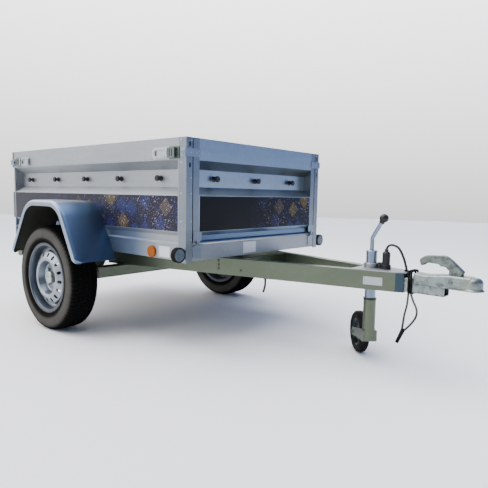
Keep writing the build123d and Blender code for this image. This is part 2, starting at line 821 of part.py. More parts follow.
def drawbar_crossmember():
    """Channel between the arms under the box front, its ends cut to the arms' slope."""
    x = BOX_FRONT + CROSSMEMBER_X
    low = ARM_BOTTOM + ARM_SHEET
    high = ARM_TOP - ARM_SHEET
    tip = x + CROSSMEMBER_FLANGE
    section = folded([(tip, low), (x, low), (x, high), (tip, high)], RAIL_SHEET)
    bar = along_y(section, -ARM_REAR_Y, ARM_REAR_Y)
    rear, front = arm_line(ARM_SHEET)
    keep = polygon([rear, front, (front[0], -front[1]), (rear[0], -rear[1])])
    return bar & along_z(keep, ARM_BOTTOM, ARM_TOP)


def drawbar_top_plate():
    """Plate across both arms' tops, bored for the jockey tube, narrowing to the neck."""
    rear_x = BOX_FRONT + TOP_PLATE_REAR
    shoulder_x = BOX_FRONT + ARM_FRONT_X
    front_x = BOX_FRONT + TOP_PLATE_FRONT
    rear, front = arm_line(0)
    share = (rear_x - rear[0]) / (front[0] - rear[0])
    rear_y = rear[1] + share * (front[1] - rear[1])
    half = [(rear_x, rear_y), (shoulder_x, -ARM_FRONT_Y), (front_x, -NECK_SIZE / 2)]
    outline = polygon([*half, *[(x, -y) for x, y in reversed(half)]])
    plate = along_z(outline, ARM_TOP, ARM_TOP + TOP_PLATE_SHEET)
    clamp_top = PLATE_TOP + CLAMP_HEIGHT
    clamp = along_z(Pos(JOCKEY_AXIS_X, 0) * Circle(JOCKEY_TUBE_RADIUS + CLAMP_WALL), PLATE_TOP, clamp_top)
    clamp = chamfer(clamp.edges().group_by(Axis.Z)[-1], CLAMP_WALL / 4)
    hole = Pos(JOCKEY_AXIS_X, 0) * Circle(JOCKEY_TUBE_RADIUS)
    return plate + clamp - along_z(hole, ARM_TOP, clamp_top)


def neck_tube():
    centre_z = NECK_BOTTOM + NECK_SIZE / 2
    outer = RectangleRounded(NECK_SIZE, NECK_SIZE, NECK_CORNER)
    inner = RectangleRounded(NECK_SIZE - 2 * NECK_WALL, NECK_SIZE - 2 * NECK_WALL, NECK_CORNER / 2)
    section = Pos(0, centre_z) * (outer - inner)
    return along_x(section, BOX_FRONT + NECK_REAR_X, BOX_FRONT + NECK_FRONT_X)


def coupling_body():
    """Outside of the pressed head: a crowned channel from the neck to the ball, with soft top edges."""
    rear = BOX_FRONT + COUPLING_REAR_X
    profile = rounded(
        [
            (rear, CHEEK_BOTTOM, 8),
            (rear, CROWN_Z - 4, COUPLING_EDGE),
            (rear + 50, CROWN_Z - 7, 60),
            (rear + 138, CROWN_Z + 2, 60),
            (BALL_CENTRE_X, CROWN_Z, 0),
            (BALL_CENTRE_X, CHEEK_BOTTOM, 0),
        ]
    )
    body = along_y(profile, -CHEEK_HALF, CHEEK_HALF)
    crown = [
        edge
        for edge in body.edges()
        if edge.center().Z > NECK_TOP and abs(edge.center().Y) > CHEEK_HALF - 1
    ]
    return fillet(crown, COUPLING_EDGE)


def coupling_cup():
    """Domed cup over the ball, turned about the ball's upright axis."""
    low = BALL_Z - SOCKET_DEPTH
    outline = [
        (0, low, 0),
        (CUP_RADIUS + CUP_LIP, low, 0),
        (CUP_RADIUS + CUP_LIP, low + LIP_SHEET, 1.5),
        (CUP_RADIUS, low + 2 * LIP_SHEET, 4),
        (CUP_RADIUS, BALL_Z + CUP_CROWN, 22),
        (0, BALL_Z + CUP_CROWN, 0),
    ]
    return Pos(BALL_CENTRE_X, 0) * revolve(Plane.XZ * rounded(outline), Axis.Z)


def coupling_lip():
    """Turned-out edge along the foot of both cheeks, from the neck's end to the cup."""
    rear = BOX_FRONT + NECK_FRONT_X + CHEEK_HALF / 2
    low = BALL_Z - SOCKET_DEPTH
    section = Pos((rear + BALL_CENTRE_X) / 2, 0) * Rectangle(BALL_CENTRE_X - rear, 2 * (CHEEK_HALF + CUP_LIP))
    lip = along_z(section, low, low + LIP_SHEET)
    return fillet(lip.edges().filter_by(Axis.Z).group_by(Axis.X)[0], CUP_LIP - 1)


def cheek_marks():
    """What is pressed into both cheeks: the pin's slot and two round dimples."""
    pin_slot = Pos(BALL_CENTRE_X - LEVER_PIN_BACK, LEVER_PIN_Z) * SlotOverall(3.6 * LEVER_PIN, 2 * LEVER_PIN)
    marks = along_y(pin_slot, -CHEEK_HALF - 1, CHEEK_HALF + 1)
    for back, up in DIMPLES:
        dimple = Pos(BALL_CENTRE_X - back, NECK_TOP + up) * Circle(DIMPLE_RADIUS)
        for side in SIDES:
            marks += along_y(dimple, side * CHEEK_HALF - DIMPLE_DEPTH, side * CHEEK_HALF + DIMPLE_DEPTH)
    return marks


def coupling_head():
    """Pressed coupling: hollow channel over the neck, drawn down ahead into the ball's cup."""
    neck_end = BOX_FRONT + NECK_FRONT_X
    rear = BOX_FRONT + COUPLING_REAR_X
    head = coupling_body() + coupling_cup() + coupling_lip()
    inside_front = BALL_CENTRE_X - CUP_RADIUS
    roof = CROWN_Z - 3 * COUPLING_WALL
    head -= block((rear - 1, inside_front), (-NECK_HALF, NECK_HALF), (CHEEK_BOTTOM - COUPLING_WALL, roof))
    slot_x = (BALL_CENTRE_X - LEVER_SLOT[0], BALL_CENTRE_X - LEVER_SLOT[1])
    head -= block(slot_x, (-LEVER_WIDTH / 2, LEVER_WIDTH / 2), (roof - 1, CROWN_Z + LEVER_RISE))
    pad_length, pad_height, proud = COUPLING_PAD
    pad_z = (CHEEK_BOTTOM + CROWN_Z - COUPLING_EDGE) / 2
    pad = Pos(neck_end - PAD_BACK, pad_z) * RectangleRounded(pad_length, pad_height, COUPLING_WALL)
    head += along_y(pad, -CHEEK_HALF - proud, -CHEEK_HALF)
    head += along_y(pad, CHEEK_HALF, CHEEK_HALF + proud)
    head -= cheek_marks()
    socket = BALL_RADIUS + BALL_PLAY
    head -= Pos(BALL_CENTRE_X, 0, BALL_Z) * Sphere(socket)
    return head - Pos(BALL_CENTRE_X, 0) * along_z(Circle(socket), CHEEK_BOTTOM - 1, BALL_Z)


def lever_side():
    """Side view of the hand lever, from (back from the ball, above the crown, corner radius)."""
    outline = [
        (200, 29, 3),
        (206, 51, 9),
        (184, 69, 30),
        (104, 75, 34),
        (74, 53, 40),
        (32, 16, 7),
        (40, 0, 4),
        (58, -33, 4),
        (88, -33, 4),
        (88, 17, 4),
        (102, 30, 8),
        (122, 31, 6),
        (130, 39, 10),
        (174, 41, 10),
        (190, 28, 4),
    ]
    return rounded([(BALL_CENTRE_X - back, CROWN_Z + up, radius) for back, up, radius in outline])


def coupling_handle():
    """Hand lever: an arched grip pressed from sheet, hollow underneath, on a pin through the head's cheeks."""
    half = LEVER_WIDTH / 2
    lever = along_y(lever_side(), -half, half)
    grip_edges = [
        edge
        for edge in lever.edges()
        if edge.center().Z > CROWN_Z + LEVER_GRIP_RISE and abs(edge.center().Y) > half - 1
    ]
    lever = fillet(grip_edges, LEVER_EDGE)
    hollow = offset(lever_side(), -LEVER_SHEET)
    below = Pos(0, -LEVER_DISH) * hollow
    lever -= along_y(hollow, LEVER_SHEET - half, half - LEVER_SHEET)
    lever -= along_y(below, LEVER_SHEET - half, half - LEVER_SHEET)
    pin = Pos(BALL_CENTRE_X - LEVER_PIN_BACK, LEVER_PIN_Z) * Circle(LEVER_PIN)
    reach = CHEEK_HALF + LEVER_SHEET
    return lever + along_y(pin, -reach, reach)


# ---- axle, wheels and mudguards ------------------------------------------------------------------------------


def axle_beam():
    outer = RectangleRounded(BEAM_SIZE, BEAM_SIZE, BEAM_WALL + 1)
    inner = RectangleRounded(BEAM_SIZE - 2 * BEAM_WALL, BEAM_SIZE - 2 * BEAM_WALL, BEAM_WALL / 2)
    half = HALF_WIDTH - BEAM_SHORT
    return along_y(Pos(BEAM_X, BEAM_Z) * (outer - inner), -half, half)


def axle_brackets():
    """Right bracket: an upright plate welded on the beam, its top flange bolted under the side rail."""
    low = BEAM_Z + BEAM_SIZE / 2
    high = RAIL_BOTTOM
    outer = -RAIL_FACE + BRACKET_INSET
    outline = [
        (BEAM_X - BRACKET_FOOT, low, 2),
        (BEAM_X + BRACKET_FOOT, low, 2),
        (BEAM_X + BRACKET_FRONT, high - BRACKET_SHEET, 2),
        (BEAM_X + BRACKET_FRONT, high, 0),
        (BEAM_X - BRACKET_REAR, high, 0),
        (BEAM_X - BRACKET_REAR, high - BRACKET_SHEET, 2),
    ]
    plate = along_y(rounded(outline), outer, outer + BRACKET_SHEET)
    cut_out = RectangleRounded(BRACKET_FOOT, BRACKET_FLANGE, 8)
    window = Pos(BEAM_X + BRACKET_SHEET, (low + high) / 2) * cut_out
    plate -= along_y(window, outer, outer + BRACKET_SHEET)
    x = (BEAM_X - BRACKET_REAR, BEAM_X + BRACKET_FRONT)
    flange = block(x, (outer, outer + BRACKET_FLANGE), (high - BRACKET_SHEET, high))
    return both_sides(plate + flange)


def suspension_arms():
    """Right trailing arm with its stub axle and the square end that seats on the beam."""
    beam_end = -HALF_WIDTH + BEAM_SHORT
    inner = -HALF_WIDTH - SUSPENSION_GAP
    outer = inner - SUSPENSION_ARM
    boss = Pos(BEAM_X, BEAM_Z) * Circle(SUSPENSION_BOSS)
    end = Pos(HUB_X, WHEEL_RADIUS) * Circle(SUSPENSION_END)
    web = make_hull([*boss.edges(), *end.edges()])
    shape = along_y(web, outer, inner)
    shape += rod((HUB_X, outer, WHEEL_RADIUS), (HUB_X, -WHEEL_Y - HUB_BORE, WHEEL_RADIUS), HUB_BORE)
    seat = BEAM_SIZE / 2
    shape += block((BEAM_X - seat, BEAM_X + seat), (inner, beam_end), (BEAM_Z - seat, BEAM_Z + seat))
    return both_sides(shape)


def wheel_revolve(outline):
    """Turn (radius, y, corner radius) points about the axle, with y outward from the wheel's middle plane."""
    turned = revolve(Plane.XY * rounded([(radius, -y, corner) for radius, y, corner in outline]), Axis.Y)
    return Pos(HUB_X, -WHEEL_Y, WHEEL_RADIUS) * turned


def tyre():
    """Right tyre: crowned tread, round shoulders and bulged sidewalls."""
    half = TYRE_WIDTH / 2
    tread = half - 17
    bead = RIM_WIDTH / 2 - RIM_SHEET - 2
    flange = bead + 2
    shoulder = WHEEL_RADIUS - 8
    section = make_face(
        Line((RIM_SEAT_RADIUS, bead), (RIM_FLANGE_RADIUS, flange))
        + ThreePointArc((RIM_FLANGE_RADIUS, flange), (SIDEWALL_RADIUS, half), (shoulder - 7, half - 7))
        + ThreePointArc((shoulder - 7, half - 7), (shoulder + 1, half - 11), (shoulder + 4, tread))
        + ThreePointArc((shoulder + 4, tread), (WHEEL_RADIUS, 0), (shoulder + 4, -tread))
        + ThreePointArc((shoulder + 4, -tread), (shoulder + 1, -half + 11), (shoulder - 7, -half + 7))
        + ThreePointArc((shoulder - 7, -half + 7), (SIDEWALL_RADIUS, -half), (RIM_FLANGE_RADIUS, -flange))
        + Line((RIM_FLANGE_RADIUS, -flange), (RIM_SEAT_RADIUS, -bead))
        + Line((RIM_SEAT_RADIUS, -bead), (RIM_SEAT_RADIUS, bead))
    )
    turned = revolve(Plane.XY * section, Axis.Y)
    return Pos(HUB_X, -WHEEL_Y, WHEEL_RADIUS) * turned


def barrel():
    """Drop-centre barrel with a curled flange at each edge."""
    half = RIM_WIDTH / 2
    seat = RIM_SEAT_RADIUS
    bead = half - RIM_SHEET - 2
    well = RIM_WELL_RADIUS
    return wheel_revolve(
        [
            (RIM_FLANGE_RADIUS, -half, 0),
            (RIM_FLANGE_RADIUS, -half + RIM_SHEET, 0),
            (seat, -bead, 0),
            (seat, RIM_WELL_IN - RIM_WELL_SLOPE, 0),
            (well, RIM_WELL_IN, 0),
            (well, RIM_WELL_OUT, 0),
            (seat, RIM_WELL_OUT + RIM_WELL_SLOPE, 0),
            (seat, bead, 0),
            (RIM_FLANGE_RADIUS, half - RIM_SHEET, 0),
            (RIM_FLANGE_RADIUS, half, 1.5),
            (seat, half, 7),
            (seat - RIM_SHEET, RIM_WELL_OUT + RIM_WELL_SLOPE - 2, 0),
            (well - RIM_SHEET, RIM_WELL_OUT - 2, 0),
            (well - RIM_SHEET, RIM_WELL_IN + 2, 0),
            (seat - RIM_SHEET, RIM_WELL_IN - RIM_WELL_SLOPE + 2, 0),
            (seat, -half, 0),
        ]
    )


def wheel_disc():
    """Pressed disc: flat seat, raised hat ring, then a shoulder with radial vents that dives into the barrel."""
    bore = HUB_CAP_RADIUS + 2
    sheet = DISC_SHEET
    edge = DISC_EDGE_RADIUS
    well = RIM_WELL_RADIUS - RIM_SHEET
    disc = wheel_revolve(
        [
            (bore, FLOOR_OUT, 0),
            (FLOOR_RADIUS, FLOOR_OUT, 8),
            (HAT_RADIUS - 9, HAT_OUT, 7),
            (HAT_RADIUS + 5, HAT_OUT, 7),
            (edge - 2, DISC_EDGE_OUT, 6),
            (well, 22, 0),
            (well, 8, 0),
            (edge - sheet - 1, DISC_EDGE_OUT - sheet + 1, 0),
            (HAT_RADIUS + 3, HAT_OUT - sheet, 0),
            (HAT_RADIUS - 6, HAT_OUT - sheet, 0),
            (FLOOR_RADIUS + 3, FLOOR_OUT - sheet, 0),
            (bore, FLOOR_OUT - sheet, 0),
        ]
    )
    centre = Pos(HUB_X, -WHEEL_Y, WHEEL_RADIUS)
    vent = extrude(Plane.XZ * SlotOverall(VENT_LENGTH, VENT_WIDTH), TYRE_WIDTH)
    for i in range(VENTS):
        disc -= centre * Rot(0, 360 / VENTS * i + VENT_TURN, 0) * Pos(VENT_RING, 0, 0) * vent
    hole = extrude(Plane.XZ * Circle(BOLT_RADIUS + 0.5), TYRE_WIDTH)
    for i in range(BOLTS):
        disc -= centre * Rot(0, 360 / BOLTS * (i + 0.5), 0) * Pos(BOLT_RING, 0, 0) * hole
    return disc


def rim():
    """Right rim: barrel and disc in one piece."""
    return barrel() + wheel_disc()


def hub():
    """Right hub: flange behind the disc, cap through it and the wheel's bolts."""
    bore = HUB_BORE + HUB_PLAY
    seat = FLOOR_OUT - DISC_SHEET
    body = wheel_revolve(
        [
            (bore, HUB_INNER, 0),
            (HUB_RADIUS - 22, HUB_INNER, 3),
            (HUB_RADIUS - 18, seat - HUB_FLANGE, 3),
            (HUB_RADIUS, seat - HUB_FLANGE, 2),
            (HUB_RADIUS, seat, 2),
            (HUB_CAP_RADIUS, seat, 0),
            (HUB_CAP_RADIUS, HUB_CAP_OUT, 7),
            (0, HUB_CAP_OUT, 0),
            (0, seat + 1, 0),
            (bore, seat + 1, 0),
        ]
    )
    centre = Pos(HUB_X, -WHEEL_Y, WHEEL_RADIUS)
    for i in range(BOLTS):
        bolt = Plane.XZ.offset(seat) * Circle(BOLT_RADIUS)
        head = Plane.XZ.offset(FLOOR_OUT) * RegularPolygon(BOLT_HEAD, 6)
        spot = centre * Rot(0, 360 / BOLTS * (i + 0.5), 0) * Pos(BOLT_RING, 0, 0)
        body += spot * extrude(bolt, DISC_SHEET)
        body += spot * extrude(head, BOLT_HEAD_HEIGHT)
    return body


def mudguard():
    """Right mudguard: a bent sheet over the wheel with a lip along its outer edge."""
    outline = [
        (HUB_X - GUARD_HALF_BASE, GUARD_FOOT),
        (HUB_X - GUARD_HALF_TOP, GUARD_TOP),
        (HUB_X + GUARD_HALF_TOP, GUARD_TOP),
        (HUB_X + GUARD_HALF_BASE, GUARD_FOOT),
    ]
    arch = FilletPolyline(*outline, radius=GUARD_BEND)
    skin = make_face(offset(arch, amount=GUARD_SHEET, side=Side.RIGHT, kind=Kind.INTERSECTION))
    lip = make_face(offset(arch, amount=GUARD_LIP, side=Side.RIGHT, kind=Kind.INTERSECTION))
    inner = -HALF_WIDTH
    outer = inner - GUARD_WIDTH
    return along_y(skin, outer, inner) + along_y(lip, outer, outer + GUARD_SHEET)


# ---- jockey wheel --------------------------------------------------------------------------------------------


def jockey_tube():
    """Fixed tube through the drawbar with its cap."""
    ring = Circle(JOCKEY_TUBE_RADIUS) - Circle(JOCKEY_TUBE_RADIUS - JOCKEY_TUBE_WALL)
    tube = along_z(Pos(JOCKEY_AXIS_X, 0) * ring, JOCKEY_TUBE_BOTTOM, JOCKEY_TUBE_TOP - 6)
    cap = Pos(JOCKEY_AXIS_X, 0, JOCKEY_TUBE_TOP - 6) * Cylinder(
        JOCKEY_TUBE_RADIUS + 1, 8, align=(Align.CENTER, Align.CENTER, Align.MIN)
    )
    return tube + chamfer(cap.edges().group_by(Axis.Z)[-1], 3)


def jockey_crank():
    """Crank: a bar up out of the cap, bent over to its knob."""
    path = FilletPolyline(
        (JOCKEY_AXIS_X, 0, JOCKEY_TUBE_TOP + 2),
        (JOCKEY_AXIS_X, 0, CRANK_BEND_Z),
        (JOCKEY_AXIS_X + CRANK_LEAN, 0, CRANK_BEND_Z + CRANK_RISE),
        radius=CRANK_BEND,
    )
    return sweep(Plane(origin=path @ 0, z_dir=path % 0) * Circle(CRANK_RADIUS), path=path)


def crank_knob():
    """Ball knob in line with the crank's upper run, on a short collar."""
    tip = Vector(JOCKEY_AXIS_X + CRANK_LEAN, 0, CRANK_BEND_Z + CRANK_RISE)
    run = Vector(CRANK_LEAN, 0, CRANK_RISE).normalized()
    centre = tip + run * (CRANK_BALL_RADIUS + CRANK_NECK)
    collar = rod(tip, centre, CRANK_RADIUS + 3)
    ball = Pos(*centre) * Sphere(CRANK_BALL_RADIUS)
    below = Plane(origin=tip, z_dir=-run) * Box(60, 60, 40, align=(Align.CENTER, Align.CENTER, Align.MIN))
    return ball + collar - below


def castor_point(along, across, z):
    """A point placed from the jockey's axis: along the trail, across it to the left, and its height."""
    angle = radians(CASTOR_ANGLE)
    x = JOCKEY_AXIS_X + along * cos(angle) - across * sin(angle)
    return (x, along * sin(angle) + across * cos(angle), z)


def castor_plane():
    """Plane along the trail and up, through the jockey's axis."""
    angle = radians(CASTOR_ANGLE)
    return Plane(
        origin=(JOCKEY_AXIS_X, 0, 0), x_dir=(cos(angle), sin(angle), 0), z_dir=(sin(angle), -cos(angle), 0)
    )


def jockey_collar():
    """Ring between the fixed tube and the sleeve, which rises and falls with the wheel."""
    inner = JOCKEY_TUBE_RADIUS + SLEEVE_PLAY
    ring = Circle(inner + SLEEVE_WALL + 1.5) - Circle(inner)
    return along_z(Pos(JOCKEY_AXIS_X, 0) * ring, SLEEVE_TOP + 0.5, SLEEVE_TOP + 0.5 + COLLAR_HEIGHT)


def jockey_sleeve():
    """Swivelling sleeve with the castor's two fork plates and axle."""
    inner = JOCKEY_TUBE_RADIUS + SLEEVE_PLAY
    sleeve = along_z(Pos(JOCKEY_AXIS_X, 0) * Circle(inner + SLEEVE_WALL), SLEEVE_BOTTOM, SLEEVE_TOP)
    sleeve -= along_z(Pos(JOCKEY_AXIS_X, 0) * Circle(inner), SLEEVE_BOTTOM + 12, SLEEVE_TOP)
    reach = CASTOR_WIDTH / 2 + FORK_GAP
    side = [
        (-20, SLEEVE_BOTTOM - 6),
        (-20, SLEEVE_BOTTOM + 42),
        (20, SLEEVE_BOTTOM + 42),
        (CASTOR_TRAIL + 14, CASTOR_RADIUS + 18),
        (CASTOR_TRAIL + 20, CASTOR_RADIUS),
        (CASTOR_TRAIL + 14, CASTOR_RADIUS - 18),
        (20, SLEEVE_BOTTOM - 6),
    ]
    plane = castor_plane()
    fork = sleeve
    for sign in SIDES:
        base = plane.offset(sign * (reach + FORK_SHEET / 2))
        fork += extrude(base * polygon(side), FORK_SHEET / 2, both=True)
    bridge = plane * Pos(0, SLEEVE_BOTTOM + 18) * Rectangle(40, 48)
    fork += extrude(bridge, reach + FORK_SHEET, both=True)
    fork -= along_z(Pos(JOCKEY_AXIS_X, 0) * Circle(inner), SLEEVE_BOTTOM + 12, SLEEVE_TOP)
    axle = plane * Pos(CASTOR_TRAIL, CASTOR_RADIUS) * Circle(CASTOR_BORE)
    return fork + extrude(axle, reach + FORK_SHEET + 3, both=True)


def castor_solid(outline):
    """Turn (radius, offset) points about the castor's axle."""
    plane = castor_plane()
    axis = Axis(castor_point(CASTOR_TRAIL, 0, CASTOR_RADIUS), plane.z_dir)
    across = Plane(origin=castor_point(CASTOR_TRAIL, 0, CASTOR_RADIUS), x_dir=(0, 0, 1), z_dir=plane.x_dir)
    return revolve(across * polygon(outline), axis)


def jockey_tyre():
    half = CASTOR_WIDTH / 2
    return castor_solid(
        [
            (62, -half + 4),
            (CASTOR_RADIUS - 12, -half),
            (CASTOR_RADIUS - 2, -half + 8),
            (CASTOR_RADIUS, 0),
            (CASTOR_RADIUS - 2, half - 8),
            (CASTOR_RADIUS - 12, half),
            (62, half - 4),
        ]
    )


def jockey_rim():
    half = CASTOR_WIDTH / 2
    bore = CASTOR_BORE + CASTOR_PLAY
    return castor_solid(
        [
            (bore, -half - 3),
            (bore + 9, -half - 3),
            (bore + 11, -6),
            (50, -4),
            (62, -half + 5),
            (62, half - 5),
            (50, 4),
            (bore + 11, 6),
            (bore + 9, half + 3),
            (bore, half + 3),
        ]
    )


# ---- lamps ---------------------------------------------------------------------------------------------------


def marker_lamp_housings():
    """Right front lamp: a rubber bowl on a bracket out from the post."""
    centre = Pos(-MARKER_Y, MARKER_Z)
    front = BOX_FRONT + MARKER_PROUD
    bowl = along_x(centre * Circle(MARKER_RADIUS), BOX_FRONT - MARKER_DEPTH, front)
    bowl = fillet(bowl.edges().group_by(Axis.X)[0], MARKER_RIM)
    bowl -= along_x(centre * Circle(MARKER_RADIUS - MARKER_RIM), front - MARKER_DEPTH / 2, front)
    return both_sides(bowl)


def marker_lamp_brackets():
    x = BOX_FRONT - MARKER_DEPTH
    z = (MARKER_Z - MARKER_BRACKET / 2, MARKER_Z + MARKER_BRACKET / 2)
    face = -HALF_WIDTH - MARKER_SHEET
    plate = block((x - MARKER_SHEET, x), (face, -MARKER_Y - MARKER_BRACKET / 2), z)
    foot = block((x - MARKER_SHEET - MARKER_BRACKET, x), (-HALF_WIDTH, face), z)
    return both_sides(plate + foot)


def marker_lamp_lenses():
    low = BOX_FRONT + MARKER_PROUD - MARKER_DEPTH / 2
    high = BOX_FRONT + 1.5 * MARKER_PROUD
    lens = along_x(Pos(-MARKER_Y, MARKER_Z) * Circle(MARKER_RADIUS - MARKER_RIM - 0.5), low, high)
    lens = fillet(lens.edges().group_by(Axis.X)[-1], MARKER_PROUD)
    return both_sides(lens)


def side_reflectors():
    """Amber reflector on the right side rail."""
    x = BOX_FRONT + REFLECTOR_X
    disc = along_y(Pos(x, REFLECTOR_Z) * Circle(REFLECTOR_RADIUS), -RAIL_FACE - REFLECTOR_PROUD, -RAIL_FACE)
    disc = fillet(disc.edges().group_by(Axis.Y)[0], REFLECTOR_EDGE)
    return both_sides(disc)


def lamp_board():
    """Folded board under the rear rail, with closed ends."""
    x = LAMP_BOARD_X
    z = (LAMP_BOARD_BOTTOM, RAIL_BOTTOM)
    face = block((x, x + SHEET), (-HALF_WIDTH, HALF_WIDTH), z)
    for side in SIDES:
        face += block((x, x + LAMP_BOARD_END), (side * HALF_WIDTH, side * (HALF_WIDTH - SHEET)), z)
    return face + block((x, x + LAMP_BOARD_FOOT), (-HALF_WIDTH, HALF_WIDTH), (z[0], z[0] + SHEET))


def tail_lamp(depth_low, depth_high, inset):
    """Right tail lamp's block between two depths behind the board, its outline set in all round."""
    width = TAIL_LAMP_WIDTH - inset
    height = TAIL_LAMP_HEIGHT - inset
    centre_y = -HALF_WIDTH + TAIL_LAMP_CORNER + TAIL_LAMP_WIDTH / 2
    section = Pos(centre_y, LAMP_BOARD_MIDDLE) * RectangleRounded(width, height, TAIL_LAMP_CORNER)
    return along_x(section, LAMP_BOARD_X - depth_high, LAMP_BOARD_X - depth_low)


def tail_lamp_housings():
    return both_sides(tail_lamp(0, TAIL_LAMP_BASE, 0))


def tail_lamp_lenses():
    lens = tail_lamp(TAIL_LAMP_BASE, TAIL_LAMP_DEPTH, TAIL_LAMP_LENS_INSET)
    return both_sides(fillet(lens.edges().group_by(Axis.X)[0], TAIL_LAMP_EDGE))


def number_plate():
    outline = RectangleRounded(NUMBER_PLATE_WIDTH, NUMBER_PLATE_HEIGHT, TAIL_LAMP_CORNER)
    return along_x(Pos(0, LAMP_BOARD_MIDDLE) * outline, LAMP_BOARD_X - NUMBER_PLATE_SHEET, LAMP_BOARD_X)


# ---- electric lead, safety cable and loom's end ----------------------------------------------------------------


def plug_holder():
    """Parking socket on the top plate: a cup for the plug and its bracket."""
    centre = Pos(BOX_FRONT + PLUG_X, 0)
    bore = PLUG_RADIUS + PLUG_PLAY
    cup = along_z(centre * Circle(bore + SOCKET_WALL), PLATE_TOP, PLATE_TOP + SOCKET_RISE)
    rear, front, width, rise = SOCKET_BRACKET
    x = (BOX_FRONT + PLUG_X - rear, BOX_FRONT + PLUG_X - front)
    cup += block(x, (-width / 2, width / 2), (PLATE_TOP, PLATE_TOP + rise))
    foot_x = (x[0], BOX_FRONT + PLUG_X)
    cup += block(foot_x, (-width / 2, width / 2), (PLATE_TOP, PLUG_BOTTOM))
    return cup - along_z(centre * Circle(bore), PLUG_BOTTOM, PLATE_TOP + 2 * rise)


def plug():
    """Parked plug, ribbed round its grip, with the gland its lead comes out of."""
    top = PLUG_BOTTOM + PLUG_LENGTH
    shoulder = top - PLUG_CHAMFER
    outline = [
        (0, PLUG_BOTTOM, 0),
        (PLUG_RADIUS, PLUG_BOTTOM, 0),
        (PLUG_RADIUS, shoulder, 2),
        (GLAND_RADIUS + 3, top, 2),
        (GLAND_RADIUS, top, 0),
        (GLAND_RADIUS, GLAND_TOP, 0),
        (0, GLAND_TOP, 0),
    ]
    body = revolve(Plane.XZ * rounded(outline), Axis.Z)
    grip = PLATE_TOP + SOCKET_RISE + PLUG_LIFT
    ribs = 14
    for i in range(ribs):
        groove = Rot(0, 0, 360 / ribs * i) * Pos(PLUG_RADIUS + 0.6, 0) * Circle(1.8)
        body -= along_z(groove, grip, shoulder - 3)
    return Pos(BOX_FRONT + PLUG_X, 0) * body


def cable_grommets():
    """Where the lead enters the top plate and where the loom's end leaves the right arm."""
    lead = along_z(Pos(BOX_FRONT + GROMMET_X, 0) * Circle(GROMMET_RADIUS), PLATE_TOP, PLATE_TOP + GROMMET_RISE)
    lead = fillet(lead.edges().group_by(Axis.Z)[-1], 2)
    x, y = TAIL_PLACE
    tail = along_z(Pos(BOX_FRONT + x, y) * Circle(GROMMET_RADIUS), ARM_BOTTOM - TAIL_GROMMET_RISE, ARM_BOTTOM)
    return group(lead, tail)


def cable_wrap():
    """Two turns of the safety cable, tight round the neck's foot and sides."""
    low = NECK_BOTTOM - CABLE_RADIUS
    high = CABLE_WRAP_TOP
    width = NECK_SIZE + 2 * CABLE_RADIUS
    turns = []
    for x in CABLE_WRAP_X:
        section = Pos(0, (low + high) / 2) * RectangleRounded(width, high - low, WRAP_BEND)
        path = (Plane.YZ.offset(BOX_FRONT + x) * section).face().outer_wire()
        turns.append(sweep(Plane(origin=path @ 0, z_dir=path % 0) * Circle(CABLE_RADIUS), path=path))
    return group(*turns)


def cable_sleeve():
    """Crimped sleeve that holds both strands: oval at its mouth, round at its tip."""
    start, end = [Vector(BOX_FRONT + x, y, z) for x, y, z in SLEEVE_LINE]
    along = (end - start).normalized()
    mouth = Plane(origin=start, x_dir=Vector(1, 0, 0) - along * along.X, z_dir=along)
    tip = Plane(origin=end, x_dir=mouth.x_dir, z_dir=along)
    return loft([mouth * Ellipse(*SLEEVE_MOUTH), tip * Circle(SLEEVE_TIP)])


# ---- model ---------------------------------------------------------------------------------------------------


def mirrored(shape):
    return mirror(shape, about=Plane.XZ)


